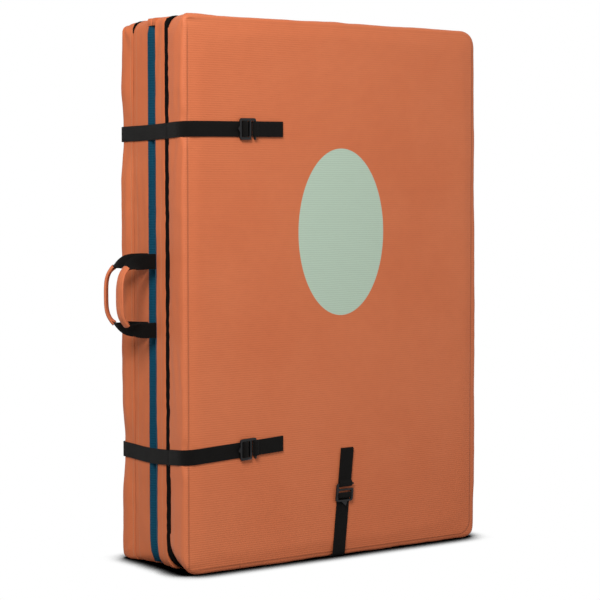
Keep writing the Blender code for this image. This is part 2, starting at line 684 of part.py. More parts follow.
def shoulder_strap(name, x):
    owner = name + "_shoulder_strap"
    axis_y = at_depth(BACK, WEB_MIDDLE)
    body(owner, "back_half", (x, axis_y, SHOULDER_TOP_Z))
    straight = across_z(BACK, 0, x)
    half = WEB_THICKNESS / 2
    root = SHOULDER_TOP_Z + KNUCKLE_GAP
    root_end = root + SHOULDER_ROOT_LENGTH
    outline = [
        (root, WEB_MIDDLE - half),
        (root_end, WEB_MIDDLE - half),
        (root_end, WEB_MIDDLE + half),
        (root, WEB_MIDDLE + half),
    ]
    add_piece(name + "_shoulder_root", plate(outline, [], straight), "back_half", BLACK)

    raised = SHOULDER_PAD_THICKNESS + FIT_GAP
    outline, hole = eye_profile(SHOULDER_BAR_Z, SHOULDER_TOP_Z, WEB_THICKNESS, -1, True)
    over_pad = [
        (SHOULDER_PAD_TOP + SHOULDER_RAMP, WEB_LOW),
        (SHOULDER_PAD_TOP, WEB_LOW + raised),
        (SHOULDER_PAD_BOTTOM, WEB_LOW + raised),
        (SHOULDER_PAD_BOTTOM - SHOULDER_RAMP, WEB_LOW),
    ]
    over_web = [(z, depth + WEB_THICKNESS) for z, depth in reversed(over_pad)]
    turned = 2 * EYE_STEPS + 1
    outline = outline[:turned] + over_pad + outline[turned:] + over_web
    shape = plate(outline, [hole], straight)
    add_piece(name + "_shoulder_webbing", shape, owner, BLACK)

    left = x - SHOULDER_PAD_WIDTH / 2
    right = x + SHOULDER_PAD_WIDTH / 2
    edge = SHOULDER_PAD_EDGE
    loops = []
    for inset, rise in (
        (edge, 0),
        (0, edge),
        (0, SHOULDER_PAD_THICKNESS - edge),
        (edge, SHOULDER_PAD_THICKNESS),
    ):
        outline = rounded_box(
            left + inset,
            right - inset,
            SHOULDER_PAD_BOTTOM + inset,
            SHOULDER_PAD_TOP - inset,
            SHOULDER_PAD_CORNER - inset,
            CORNER_STEPS,
        )
        loops.append([(u, at_depth(BACK, WEB_LOW + rise), z) for u, z in outline])
    add_piece(name + "_shoulder_pad", lofted(loops), owner, BLACK)

    hook_bar = SHOULDER_BAR_Z - HOOK_BAR_OFFSET
    anchor_end = hook_bar - SHOULDER_ANCHOR_LENGTH
    outline, hole = eye_profile(hook_bar, anchor_end, 2 * WEB_THICKNESS, 1, False)
    add_piece(name + "_shoulder_anchor", plate(outline, [hole], straight), "back_half", BLACK)

    def on_back(u, v, depth):
        return (x + v, at_depth(BACK, depth), u)

    buckle(name + "_shoulder_buckle", owner, SHOULDER_BAR_Z, -1, 1, on_back)


def clip_box(low_x, high_x, low_rise, high_rise, height):
    """A block on the belt's outer side with softened long edges."""
    loops = []
    near = WEB_LOW + WEB_THICKNESS + FIT_GAP
    for inset, rise in (
        (CLIP_EDGE, low_rise),
        (0, low_rise + CLIP_EDGE),
        (0, high_rise - CLIP_EDGE),
        (CLIP_EDGE, high_rise),
    ):
        outline = rounded_box(
            low_x + inset,
            high_x - inset,
            BELT_Z - height / 2 + inset,
            BELT_Z + height / 2 - inset,
            CLIP_EDGE,
            EYE_STEPS,
        )
        loops.append([(u, at_depth(BACK, near + rise), z) for u, z in outline])
    return lofted(loops)


def unite(target, other):
    """Joins a shape to a piece and keeps the shape as a guide."""
    other.hide_render = True
    other.display_type = "WIRE"
    joined = target.modifiers.new(other.name, "BOOLEAN")
    joined.operation = "UNION"
    joined.object = other


def belt_wing(name, sign, clip_name):
    """One side of the hip belt, with its half of the side release buckle at the free end."""
    owner = name + "_belt_wing"
    root_x = sign * BELT_ROOT_X
    axis_y = at_depth(BACK, WEB_MIDDLE)
    body(owner, "back_half", (root_x, axis_y, BELT_Z))
    level = across_x(BACK, 0, BELT_Z, width=BELT_WIDTH)
    half = WEB_THICKNESS / 2
    near = root_x + sign * KNUCKLE_GAP
    far = near + sign * BELT_ROOT_LENGTH
    outline = [
        (near, WEB_MIDDLE - half),
        (far, WEB_MIDDLE - half),
        (far, WEB_MIDDLE + half),
        (near, WEB_MIDDLE + half),
    ]
    add_piece(name + "_belt_root", plate(outline, [], level), "back_half", BLACK)
    end_x = sign * BELT_END_X
    outline = strip_profile(root_x, end_x, WEB_MIDDLE)
    add_piece(name + "_belt_webbing", plate(outline, [], level), owner, BLACK)

    outer_x = end_x + sign * CLIP_OVERLAP
    inner_x = outer_x - sign * CLIP_LENGTH
    low_x = min(outer_x, inner_x)
    high_x = max(outer_x, inner_x)
    shape = clip_box(low_x, high_x, 0, CLIP_THICKNESS, CLIP_WIDTH)
    return add_piece(clip_name, shape, owner, PLASTIC), inner_x


def belt():
    """The two wings lie unclipped, so the prongs point at the socket's open mouth."""
    clip, inner_x = belt_wing("left", -1, "left_belt_clip")
    middle = (CLIP_THICKNESS - PRONG_THICKNESS) / 2
    for index, offset in enumerate((-PRONG_SPACING / 2, PRONG_SPACING / 2)):
        low_z = BELT_Z + offset - PRONG_WIDTH / 2
        near = WEB_LOW + WEB_THICKNESS + FIT_GAP + middle
        outline = [
            (inner_x - OVERRUN, low_z),
            (inner_x + PRONG_LENGTH, low_z + PRONG_WIDTH / 4),
            (inner_x + PRONG_LENGTH, low_z + 3 * PRONG_WIDTH / 4),
            (inner_x - OVERRUN, low_z + PRONG_WIDTH),
        ]

        def place(u, v, end, near=near):
            return (u, at_depth(BACK, near + end * PRONG_THICKNESS), v)

        prong = add_piece(f"prong_guide_{index}", plate(outline, [], place), "left_belt_wing", PLASTIC)
        unite(clip, prong)

    socket, inner_x = belt_wing("right", 1, "right_belt_socket")
    inner_height = CLIP_WIDTH - 2 * SOCKET_WALL
    inner_thickness = CLIP_THICKNESS - 2 * SOCKET_WALL
    low_z = BELT_Z - inner_height / 2
    near = WEB_LOW + WEB_THICKNESS + FIT_GAP + SOCKET_WALL
    outline = [
        (inner_x - OVERRUN, low_z),
        (inner_x + SOCKET_DEPTH, low_z),
        (inner_x + SOCKET_DEPTH, low_z + inner_height),
        (inner_x - OVERRUN, low_z + inner_height),
    ]

    def place(u, v, end):
        return (u, at_depth(BACK, near + end * inner_thickness), v)

    mouth = add_piece("socket_cutter", plate(outline, [], place), "right_belt_wing", PLASTIC)
    subtract(socket, mouth)


clear_scene()
body("back_half", None, (0, 0, 0))
body("front_half", "back_half", (HINGE_X, PARTING_Y, 0))
back_sidewall, _, _ = half_of_pad("back", BACK, BACK_LINE_DEPTH, BACK_LINE_WIDTH)
front_pieces = half_of_pad("front", FRONT, FRONT_LINE_DEPTH, FRONT_LINE_WIDTH)
cut_strap_groove([back_sidewall, *front_pieces])
closure_strap(
    "upper", HEIGHT - UPPER_BACK_DROP, HEIGHT - UPPER_EDGE_DROP, HEIGHT - UPPER_ANCHOR_DROP
)
closure_strap("lower", LOWER_BACK_Z, LOWER_EDGE_Z, LOWER_ANCHOR_Z)
bottom_strap()
handle("back", BACK, BACK_HANDLE_TILT)
handle("front", FRONT, 0)
shoulder_strap("left", -SHOULDER_X)
shoulder_strap("right", SHOULDER_X)
belt()
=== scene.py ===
# %% [markdown]
# # A bouldering crash pad
#
# The pad is two foam halves in an orange nylon cover, hinged on one long edge and
# strapped shut. This lesson dresses the measured solids: every piece of cloth, webbing
# and metal is modelled over the solid that holds its place.

# %% Load the frame
import math

import bpy
import numpy as np
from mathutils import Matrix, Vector


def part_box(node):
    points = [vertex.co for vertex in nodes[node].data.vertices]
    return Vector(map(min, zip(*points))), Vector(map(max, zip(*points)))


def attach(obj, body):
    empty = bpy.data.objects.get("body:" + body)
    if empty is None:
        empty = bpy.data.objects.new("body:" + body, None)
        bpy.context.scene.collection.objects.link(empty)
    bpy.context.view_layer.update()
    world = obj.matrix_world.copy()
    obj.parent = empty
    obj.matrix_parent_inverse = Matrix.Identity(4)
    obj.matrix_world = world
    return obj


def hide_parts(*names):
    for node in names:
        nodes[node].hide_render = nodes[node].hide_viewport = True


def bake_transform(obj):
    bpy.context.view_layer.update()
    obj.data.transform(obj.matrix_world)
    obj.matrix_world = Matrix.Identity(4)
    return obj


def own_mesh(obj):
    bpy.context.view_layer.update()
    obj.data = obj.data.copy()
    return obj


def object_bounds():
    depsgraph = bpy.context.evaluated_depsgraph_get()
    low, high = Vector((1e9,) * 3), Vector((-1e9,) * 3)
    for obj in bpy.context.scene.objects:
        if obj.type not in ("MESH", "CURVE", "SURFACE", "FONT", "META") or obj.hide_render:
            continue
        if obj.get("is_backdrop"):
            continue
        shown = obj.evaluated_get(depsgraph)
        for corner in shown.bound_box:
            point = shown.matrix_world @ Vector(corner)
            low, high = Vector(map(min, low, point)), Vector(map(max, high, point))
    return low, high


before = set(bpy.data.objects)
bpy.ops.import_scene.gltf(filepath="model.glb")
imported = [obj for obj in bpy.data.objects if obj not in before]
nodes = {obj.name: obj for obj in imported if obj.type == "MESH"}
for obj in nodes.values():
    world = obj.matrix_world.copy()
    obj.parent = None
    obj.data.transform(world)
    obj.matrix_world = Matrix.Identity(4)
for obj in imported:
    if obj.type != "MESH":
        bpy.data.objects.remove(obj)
cad_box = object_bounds()

# %% [markdown]
# ## Where things are
#
# The two halves touch at the parting plane. Depth is measured from it, outwards. The
# front half goes towards minus Y and the back half towards plus Y, so one sign turns a
# depth into a place.

# %% Main sizes
FRONT = -1
BACK = 1
PARTING = -0.05
HALF_WIDTH = 0.3
HEIGHT = 0.9
MIDDLE_HEIGHT = HEIGHT / 2
CROWNED_DEPTH = 0.103
WEB = 0.0016
WEB_WIDTH = 0.025
BELT_WIDTH = 0.038
WEB_LEVEL = 0.1041
SIDE_X = -0.3011


def at_depth(side, depth):
    return PARTING + side * depth


def depth_of(points, side):
    return side * (points[:, 1] - PARTING)


print("front face at", round(at_depth(FRONT, CROWNED_DEPTH), 4))

# %% [markdown]
# ## The camera
#
# The photograph was taken from the pad's left, about three metres away with a long lens,
# so upright edges stay almost parallel. The camera comes first, because every piece is
# then judged from it.

# %% Make the camera
scene = bpy.context.scene
bpy.ops.object.camera_add(
    location=(-1.798, -2.637, 0.621),
    rotation=(math.radians(86.54), 0, math.radians(-34.7)),
)
camera = bpy.context.object
camera.name = "photo_camera"
camera.data.sensor_width = 36
camera.data.lens = 109.47
scene.camera = camera
scene.view_settings.view_transform = "Standard"
print("camera:", [round(v, 3) for v in camera.location])

# %% [markdown]
# ## Small helpers
#
# Working by script is like working by hand: nothing may be selected by accident, edit
# mode is entered for one piece, and its edges are chosen by where they are.

# %% Select and edit


def pick(piece):
    if bpy.context.mode != "OBJECT":
        leave_edit()
    deselect()
    piece.select_set(True)
    bpy.context.view_layer.objects.active = piece


def deselect():
    bpy.ops.object.select_all(action="DESELECT")


def edit(piece, action="SELECT", kind="VERT"):
    """Goes to edit mode with the whole piece selected, or nothing of it."""
    pick(piece)
    bpy.ops.object.mode_set(mode="EDIT")
    bpy.ops.mesh.select_mode(type=kind)
    bpy.ops.mesh.select_all(action=action)


def leave_edit():
    bpy.ops.object.mode_set(mode="OBJECT")


def just_added(name):
    """The object that an operator has just made, under its own name."""
    piece = bpy.context.object
    piece.name = name
    return piece


def apply_place(piece):
    pick(piece)
    bpy.ops.object.transform_apply(location=True, rotation=True, scale=True)


def points_of(piece):
    flat = np.empty(len(piece.data.vertices) * 3)
    piece.data.vertices.foreach_get("co", flat)
    return flat.reshape(-1, 3)


def normals_of(piece):
    flat = np.empty(len(piece.data.vertices) * 3)
    piece.data.vertices.foreach_get("normal", flat)
    return flat.reshape(-1, 3)


def move_points(piece, points):
    piece.data.vertices.foreach_set("co", points.ravel())
    piece.data.update()


print("selecting and moving points: ready")

# %% Change and finish a piece


def choose_edges(piece, test):
    """Goes to edit mode with the edges selected whose two ends pass the test."""
    edit(piece, "DESELECT", "EDGE")
    leave_edit()
    ends = np.empty(len(piece.data.edges) * 2, int)
    piece.data.edges.foreach_get("vertices", ends)
    first, second = (points_of(piece)[ends[start::2]] for start in (0, 1))
    piece.data.edges.foreach_set("select", test(first, second))
    bpy.ops.object.mode_set(mode="EDIT")


def modify(piece, kind, **values):
    """Adds one modifier and applies it at once."""
    pick(piece)
    modifier = piece.modifiers.new(kind.lower(), kind)
    for name, value in values.items():
        setattr(modifier, name, value)
    bpy.ops.object.modifier_apply(modifier=modifier.name)


def subdivide(piece):
    modify(piece, "SUBSURF", levels=1, render_levels=1)


def finish_piece(piece, body, material, slot, *replaced, smooth=40):
    """Outward faces, smooth shading, a material, and the body that it moves with."""
    edit(piece)
    bpy.ops.mesh.normals_make_consistent(inside=False)
    leave_edit()
    bpy.ops.object.shade_smooth_by_angle(angle=math.radians(smooth))
    piece.data.materials.clear()
    piece.data.materials.append(material)
    if body:
        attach(piece, body)
    if replaced:
        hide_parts(*replaced)


print("changing and finishing: ready")

# %% [markdown]
# ## Cloth and webbing finishes
#
# The cover is a coated nylon with a fine crosswise rib. Ribs run level round the pad, so
# their height depends on Z on the walls and on Y on the top and base. The choice is made
# from the surface's own direction, which keeps the weave in place when the pad opens.

# %% A few shorthands for shader nodes


def set_socket(tree, socket, value):
    """Links an output to a socket, or writes a plain value on it."""
    if hasattr(value, "is_output"):
        tree.links.new(value, socket)
    else:
        socket.default_value = value


def maths(tree, operation, *values):
    made = tree.nodes.new("ShaderNodeMath")
    made.operation = operation
    for index in range(3):
        set_socket(tree, made.inputs[index], values[index] if index < len(values) else 0.0)
    return made.outputs[0]


print("number shorthands ready")

# %% Soft steps, colours and noise


def between(tree, low, high, value):
    """0 below low, 1 above high, and a soft change between."""
    made = tree.nodes.new("ShaderNodeMapRange")
    made.interpolation_type = "SMOOTHSTEP"
    tree.links.new(value, made.inputs["Value"])
    made.inputs["From Min"].default_value = low
    made.inputs["From Max"].default_value = high
    return made.outputs[0]


def opposite(tree, value):
    return maths(tree, "SUBTRACT", 1.0, value)


def size_of(tree, value):
    return maths(tree, "ABSOLUTE", value)


def product(tree, first, second):
    return maths(tree, "MULTIPLY", first, second)


def scaled(tree, value, factor, start):
    """value times factor, plus start."""
    return maths(tree, "MULTIPLY_ADD", value, factor, start)


def parts(tree, vector):
    made = tree.nodes.new("ShaderNodeSeparateXYZ")
    tree.links.new(vector, made.inputs[0])
    return made.outputs


def mix_colour(tree, share, first, second):
    made = tree.nodes.new("ShaderNodeMix")
    made.data_type = "RGBA"
    for socket, value in ((0, share), (6, first), (7, second)):
        set_socket(tree, made.inputs[socket], value)
    return made.outputs[2]


def noise(tree, place, scale, detail=3.0, rough=0.55):
    made = tree.nodes.new("ShaderNodeTexNoise")
    tree.links.new(place, made.inputs["Vector"])
    made.inputs["Scale"].default_value = scale
    made.inputs["Detail"].default_value = detail
    made.inputs["Roughness"].default_value = rough
    return made.outputs[0]


print("colour shorthands ready")

# %% Node groups
FLOAT = "NodeSocketFloat"
VECTOR = "NodeSocketVector"


def new_group(name, inputs, outputs):
    group = bpy.data.node_groups.new(name, "ShaderNodeTree")
    for label, kind, value in inputs:
        socket = group.interface.new_socket(name=label, in_out="INPUT", socket_type=kind)
        if value is not None:
            socket.default_value = value
    for label, kind in outputs:
        group.interface.new_socket(name=label, in_out="OUTPUT", socket_type=kind)
    return group, group.nodes.new("NodeGroupInput"), group.nodes.new("NodeGroupOutput")


def use_group(tree, group, **values):
    made = tree.nodes.new("ShaderNodeGroup")
    made.node_tree = group
    for name, value in values.items():
        set_socket(tree, made.inputs[name.replace("_", " ")], value)
    return made


print("group shorthands ready")

# %% Ribbed weave on a cover's walls and faces


def build_cover_weave():
    group, start, end = new_group(
        "cover weave",
        [
            ("Place", VECTOR, None),
            ("Facing", VECTOR, None),
            ("Pitch", FLOAT, 0.0036),
            ("Wall Share", FLOAT, -0.7),
        ],
        [("Height", FLOAT), ("Shade", FLOAT), ("Tone", FLOAT)],
    )
    place = parts(group, start.outputs["Place"])
    facing = parts(group, start.outputs["Facing"])
    flat = maths(group, "GREATER_THAN", size_of(group, facing[2]), 0.7)
    sideways = maths(group, "GREATER_THAN", size_of(group, facing[0]), 0.7)

    def choose(share, first, second):
        made = group.nodes.new("ShaderNodeMix")
        for socket, value in ((0, share), (2, first), (3, second)):
            group.links.new(value, made.inputs[socket])
        return made.outputs[0]

    up = choose(flat, place[2], place[1])
    along = choose(sideways, place[0], place[1])
    drift = product(group, noise(group, start.outputs["Place"], 6.0, 2.0), 0.0022)
    turn = maths(group, "DIVIDE", math.tau, start.outputs["Pitch"])
    rib = maths(group, "SINE", product(group, maths(group, "ADD", up, drift), turn))
    thread = maths(group, "SINE", product(group, along, product(group, turn, 2.3)))
    fine = maths(group, "SINE", product(group, up, product(group, turn, 3.0)))
    crossing = product(group, thread, fine)
    raised = scaled(group, rib, 0.3, product(group, crossing, 0.12))
    on_wall = maths(group, "MAXIMUM", flat, sideways)
    plainness = scaled(group, on_wall, start.outputs["Wall Share"], 1.0)
    height = product(group, raised, plainness)
    group.links.new(height, end.inputs["Height"])
    # Shade: painted shade in the rib grooves, uneven along them.
    uneven = noise(group, start.outputs["Place"], 60.0, 2.0)
    dip = product(group, scaled(group, rib, -0.5, 0.5), plainness)
    groove = product(group, dip, uneven)
    group.links.new(groove, end.inputs["Shade"])
    broad = noise(group, start.outputs["Place"], 5.0, 4.0)
    group.links.new(between(group, 0.3, 0.7, broad), end.inputs["Tone"])
    return group


cover_weave = build_cover_weave()
print("cover weave:", len(cover_weave.nodes), "nodes")

# %% Rows of stitches along a seam


def build_stitch_row():
    group, start, end = new_group(
        "stitch row",
        [("Across", FLOAT, 0.0), ("Along", FLOAT, 0.0), ("Step", FLOAT, 0.004)],
        [("Thread", FLOAT), ("Crease", FLOAT)],
    )
    away = size_of(group, start.outputs["Across"])
    near = opposite(group, between(group, 0.0003, 0.0007, away))
    turns = maths(group, "DIVIDE", start.outputs["Along"], start.outputs["Step"])
    cycle = maths(group, "FRACT", turns)
    dash = between(group, 0.12, 0.2, maths(group, "PINGPONG", cycle, 0.5))
    group.links.new(product(group, near, dash), end.inputs["Thread"])
    crease = opposite(group, between(group, 0.0002, 0.0022, away))
    group.links.new(crease, end.inputs["Crease"])
    return group


stitch_row = build_stitch_row()
print("stitch row:", len(stitch_row.nodes), "nodes")

# %% Start and finish a material


def darker(colour, share):
    return tuple(share * value for value in colour[:3]) + (1.0,)


def start_material(name, roughness, metallic=0.0, **constants):
    material = bpy.data.materials.new(name)
    material.use_nodes = True
    tree = material.node_tree
    shader = tree.nodes["Principled BSDF"]
    shader.inputs["Roughness"].default_value = roughness
    shader.inputs["Metallic"].default_value = metallic
    for label, value in constants.items():
        shader.inputs[label.replace("_", " ")].default_value = value
    where = tree.nodes.new("ShaderNodeTexCoord")
    return material, tree, shader, where


def join_shader(tree, shader, colour, height, distance, rough=None):
    """Links a colour, a bump and where it varies a roughness to the material's shader."""
    tree.links.new(colour, shader.inputs["Base Color"])
    if rough is not None:
        tree.links.new(rough, shader.inputs["Roughness"])
    bump = tree.nodes.new("ShaderNodeBump")
    bump.inputs["Strength"].default_value = 1.0
    bump.inputs["Distance"].default_value = distance
    tree.links.new(height, bump.inputs["Height"])
    tree.links.new(bump.outputs[0], shader.inputs["Normal"])


print("material shorthands ready")


# %% A row of stitches on the walls
THREAD = (0.68, 0.30, 0.16, 1.0)
SEAM_CREASE_SHADE = (0.26, 0.062, 0.026, 1.0)


def add_wall_row(tree, where, colour, height, side, row_depth):
    """A row of stitches that runs round a half's walls at one depth from the parting, with painted
    shade in its crease.
    """
    place = parts(tree, where.outputs["Object"])
    facing = parts(tree, where.outputs["Normal"])
    on_wall = opposite(tree, between(tree, 0.5, 0.7, size_of(tree, facing[1])))
    wander = product(tree, noise(tree, where.outputs["Object"], 7.0, 1.0), 0.004)
    level = scaled(tree, place[1], float(side), -side * PARTING - row_depth - 0.002)
    across = maths(tree, "ADD", level, wander)
    along = maths(tree, "ADD", place[0], place[2])
    row = use_group(tree, stitch_row, Across=across, Along=along, Step=0.0042)
    crease = product(tree, row.outputs["Crease"], on_wall)
    # Painted shade: the seam's crease is darkened.
    crease_shade = mix_colour(tree, product(tree, crease, 0.22), colour, SEAM_CREASE_SHADE)
    sewn = product(tree, row.outputs["Thread"], on_wall)
    stitched = mix_colour(tree, product(tree, sewn, 0.8), crease_shade, THREAD)
    return stitched, scaled(tree, crease, -0.8, height)


print("wall stitches ready")

# %% The oval on the front
MOTIF_MIDDLE = (0.007, 0.550)
MOTIF_HALF = (0.088, 0.140)
SAGE = (0.466, 0.590, 0.473, 1.0)


def print_motif(tree, place, on_face, colour, height):
    """A plain pale oval print, painted darker in the rib grooves, as shade, so that the ribs still show
    through it.
    """
    terms = []
    for socket, middle, half in zip((0, 2), MOTIF_MIDDLE, MOTIF_HALF):
        moved = maths(tree, "SUBTRACT", place[socket], middle)
        share = maths(tree, "DIVIDE", moved, half)
        terms.append(product(tree, share, share))
    away = maths(tree, "ADD", *terms)
    inside = opposite(tree, between(tree, 0.992, 1.004, away))
    ink = product(tree, inside, on_face)
    # Painted shade: the print is darker where the ribs dip.
    ribs = between(tree, -0.45, 0.45, height)
    pale = mix_colour(tree, ribs, darker(SAGE, 0.86), SAGE)
    return mix_colour(tree, ink, colour, pale)


print("oval ready")

# %% The seam round a face
SEAM_INSET = 0.0075
BORDER_JOIN_X = -0.195
LEFT_SEAM_CORNER = 0.005
RIGHT_SEAM_CORNER = 0.024


def add_face_seam(tree, where, colour, height, dark, side, motif):
    """The seam runs round the face just inside its edge, with a row of stitches and painted shade in
    its crease.
    """
    place = parts(tree, where.outputs["Object"])
    facing = parts(tree, where.outputs["Normal"])
    outward = product(tree, facing[1], float(side))
    on_face = between(tree, 0.55, 0.8, outward)
    rightness = between(tree, -0.05, 0.05, place[0])
    corner_rise = RIGHT_SEAM_CORNER - LEFT_SEAM_CORNER
    seam_corner = scaled(tree, rightness, corner_rise, LEFT_SEAM_CORNER)
    inner_x = maths(tree, "SUBTRACT", HALF_WIDTH - SEAM_INSET, seam_corner)
    inner_z = maths(tree, "SUBTRACT", MIDDLE_HEIGHT - SEAM_INSET, seam_corner)
    reach_x = maths(tree, "SUBTRACT", size_of(tree, place[0]), inner_x)
    raised = maths(tree, "SUBTRACT", place[2], MIDDLE_HEIGHT)
    reach_z = maths(tree, "SUBTRACT", size_of(tree, raised), inner_z)
    out_x = maths(tree, "MAXIMUM", reach_x, 0.0)
    out_z = maths(tree, "MAXIMUM", reach_z, 0.0)
    squares = scaled(tree, out_x, out_x, product(tree, out_z, out_z))
    corner = maths(tree, "SQRT", squares)
    inner = maths(tree, "MINIMUM", maths(tree, "MAXIMUM", reach_x, reach_z), 0.0)
    away = maths(tree, "SUBTRACT", maths(tree, "ADD", corner, inner), seam_corner)
    along = maths(tree, "ADD", place[0], place[2])
    row = use_group(tree, stitch_row, Across=away, Along=along, Step=0.004)
    near_top = between(tree, HEIGHT - 0.04, HEIGHT - 0.015, place[2])
    shown = product(tree, on_face, scaled(tree, near_top, -0.75, 1.0))
    from_join = size_of(tree, maths(tree, "SUBTRACT", place[0], BORDER_JOIN_X))
    join = opposite(tree, between(tree, 0.0002, 0.0014, from_join))
    below_seam = maths(tree, "LESS_THAN", place[2], SEAM_INSET + 0.0015)
    lines = maths(tree, "MAXIMUM", row.outputs["Crease"], product(tree, join, below_seam))
    crease = product(tree, lines, shown)
    # Painted shade: the seam's crease and the border join are darkened.
    colour = mix_colour(tree, product(tree, crease, 0.55), colour, darker(dark, 0.45))
    height = scaled(tree, crease, -1.6, height)
    if motif:
        colour = print_motif(tree, place, on_face, colour, height)
    return colour, height


print("face seam ready")

# %% Ribbed nylon


def cover_cloth(
    name,
    light,
    dark,
    roughness,
    pitch,
    motif=False,
    seam_side=0,
    bump=0.0003,
    rows=(),
    gloss=0.28,
    wall_share=-0.7,
):
    """Ribbed nylon. On a face panel it also has the seam and the printed motif."""
    material, tree, shader, where = start_material(
        name, roughness, Sheen_Weight=gloss / 6, Sheen_Roughness=0.45, Specular_IOR_Level=gloss
    )
    weave = use_group(
        tree,
        cover_weave,
        Place=where.outputs["Object"],
        Facing=where.outputs["Normal"],
        Pitch=pitch,
        Wall_Share=wall_share,
    )
    toned = mix_colour(tree, weave.outputs["Tone"], light, dark)
    # The rib grooves are painted darker, as shade.
    depth = product(tree, weave.outputs["Shade"], 0.36)
    colour = mix_colour(tree, depth, toned, darker(dark, 0.62))
    height = weave.outputs["Height"]
    if seam_side:
        colour, height = add_face_seam(tree, where, colour, height, dark, seam_side, motif)
    for side, row_depth in rows:
        colour, height = add_wall_row(tree, where, colour, height, side, row_depth)
    rough = scaled(tree, weave.outputs["Tone"], 0.1, roughness - 0.05)
    join_shader(tree, shader, colour, height, bump, rough)
    return material


print("ribbed nylon ready")

# %% Mix the orange and teal nylons
ORANGE_LIGHT = (0.615, 0.165, 0.063, 1.0)
ORANGE_DARK = (0.588, 0.150, 0.056, 1.0)
TEAL_LIGHT = (0.001, 0.057, 0.104, 1.0)
TEAL_DARK = (0.001, 0.043, 0.079, 1.0)
orange_face = cover_cloth("orange_face", ORANGE_LIGHT, ORANGE_DARK, 0.62, 0.0036, True, FRONT)
orange_back = cover_cloth(
    "orange_back",
    ORANGE_LIGHT,
    ORANGE_DARK,
    0.62,
    0.0036,
    False,
    BACK,
    rows=((BACK, 0.0665),),
    gloss=0.15,
)
orange_wall = cover_cloth(
    "orange_wall",
    ORANGE_LIGHT,
    ORANGE_DARK,
    0.64,
    0.0024,
    rows=((FRONT, 0.029), (BACK, 0.0490)),
    gloss=0.15,
)
teal_cloth = cover_cloth(
    "teal_cloth", TEAL_LIGHT, TEAL_DARK, 0.6, 0.0041, bump=0.0007, gloss=0.1, wall_share=0.0
)
print("cover cloths:", orange_face.name, orange_wall.name, teal_cloth.name)

# %% [markdown]
# ## Webbing
#
# Webbing is woven flat, with short ribs across it and a firm edge. The weave follows the
# strap round every bend, so it is drawn on the strap's own map, where one unit is one
# metre: U runs along the strap and V across it.

# %% Webbing finish


def build_web_weave():
    group, start, end = new_group(
        "web weave",
        [("Map", VECTOR, None), ("Half Width", FLOAT, 0.0125)],
        [("Height", FLOAT), ("Edge", FLOAT)],
    )
    place = parts(group, start.outputs["Map"])
    across = size_of(group, place[1])
    column = maths(group, "PINGPONG", product(group, across, 640.0), 1.0)
    slant = scaled(group, column, 0.35, product(group, place[0], 760))
    rib = maths(group, "SINE", product(group, slant, math.tau))
    groove = maths(group, "POWER", column, 3.0)
    height = scaled(group, rib, 0.35, product(group, groove, -0.3))
    inset = maths(group, "SUBTRACT", start.outputs["Half Width"], across)
    edge = opposite(group, between(group, 0.0010, 0.0018, inset))
    group.links.new(scaled(group, edge, 0.35, height), end.inputs["Height"])
    group.links.new(edge, end.inputs["Edge"])
    return group


web_weave = build_web_weave()


WEB_DARK = (0.0024, 0.0021, 0.0019, 1.0)
WEB_LIGHT = (0.0070, 0.0061, 0.0056, 1.0)
WEB_ROUGHNESS = 0.78


def webbing_cloth(name, half_width):
    material, tree, shader, where = start_material(
        name, WEB_ROUGHNESS, Sheen_Weight=0.02, Sheen_Roughness=0.5, Specular_IOR_Level=0.07
    )
    weave = use_group(tree, web_weave, Map=where.outputs["UV"], Half_Width=half_width)
    fuzz = noise(tree, where.outputs["Object"], 900.0, 2.0)
    # Painted shade: the weave is darker in its grooves and lighter on its ribs, varied by fuzz.
    raised = between(tree, -0.5, 0.6, weave.outputs["Height"])
    share = product(tree, raised, scaled(tree, fuzz, 0.6, 0.5))
    colour = mix_colour(tree, share, WEB_DARK, WEB_LIGHT)
    rubbed = noise(tree, where.outputs["Object"], 35.0)
    worn = scaled(tree, rubbed, 0.16, WEB_ROUGHNESS - 0.1)
    join_shader(tree, shader, colour, weave.outputs["Height"], 0.00035, worn)
    return material


black_web = webbing_cloth("black_web", WEB_WIDTH / 2)
belt_web = webbing_cloth("belt_web", BELT_WIDTH / 2)
print("webbing:", black_web.name, belt_web.name)

# %% Hook tape and sleeve finishes


def fuzzy_tape():
    material, tree, shader, where = start_material("hook_tape", 0.95, Specular_IOR_Level=0.03)
    # Painted shade: the tape is darker where its loops dip.
    loops = noise(tree, where.outputs["Object"], 1400.0, 3.0, 0.7)
    colour = mix_colour(tree, loops, (0.001, 0.001, 0.001, 1.0), (0.008, 0.0075, 0.0075, 1.0))
    join_shader(tree, shader, colour, loops, 0.0012)
    return material


def sleeve_cloth():
    """The grip's sleeve: the cover's nylon with one seam along its outer side, with painted shade in
    its crease.
    """
    material, tree, shader, where = start_material(
        "orange_sleeve", 0.62, Sheen_Weight=0.05, Specular_IOR_Level=0.28
    )
    place = parts(tree, where.outputs["UV"])
    row = use_group(tree, stitch_row, Across=place[1], Along=place[0], Step=0.003)
    weft = maths(tree, "SINE", product(tree, place[0], math.tau / 0.0018))
    tone = between(tree, 0.3, 0.7, noise(tree, where.outputs["Object"], 45.0, 3.0))
    cloth = mix_colour(tree, tone, ORANGE_LIGHT, ORANGE_DARK)
    # Painted shade: the seam's crease is darkened.
    crease_shade = product(tree, row.outputs["Crease"], 0.6)
    seam = mix_colour(tree, crease_shade, cloth, darker(ORANGE_DARK, 0.4))
    thread = mix_colour(tree, row.outputs["Thread"], seam, (0.66, 0.25, 0.12, 1.0))
    height = scaled(tree, weft, 0.25, product(tree, row.outputs["Crease"], -1.4))
    join_shader(tree, shader, thread, height, 0.0005)
    return material


hook_tape = fuzzy_tape()
orange_sleeve = sleeve_cloth()
print("finishes:", hook_tape.name, orange_sleeve.name)

# %% Padding and foam finishes


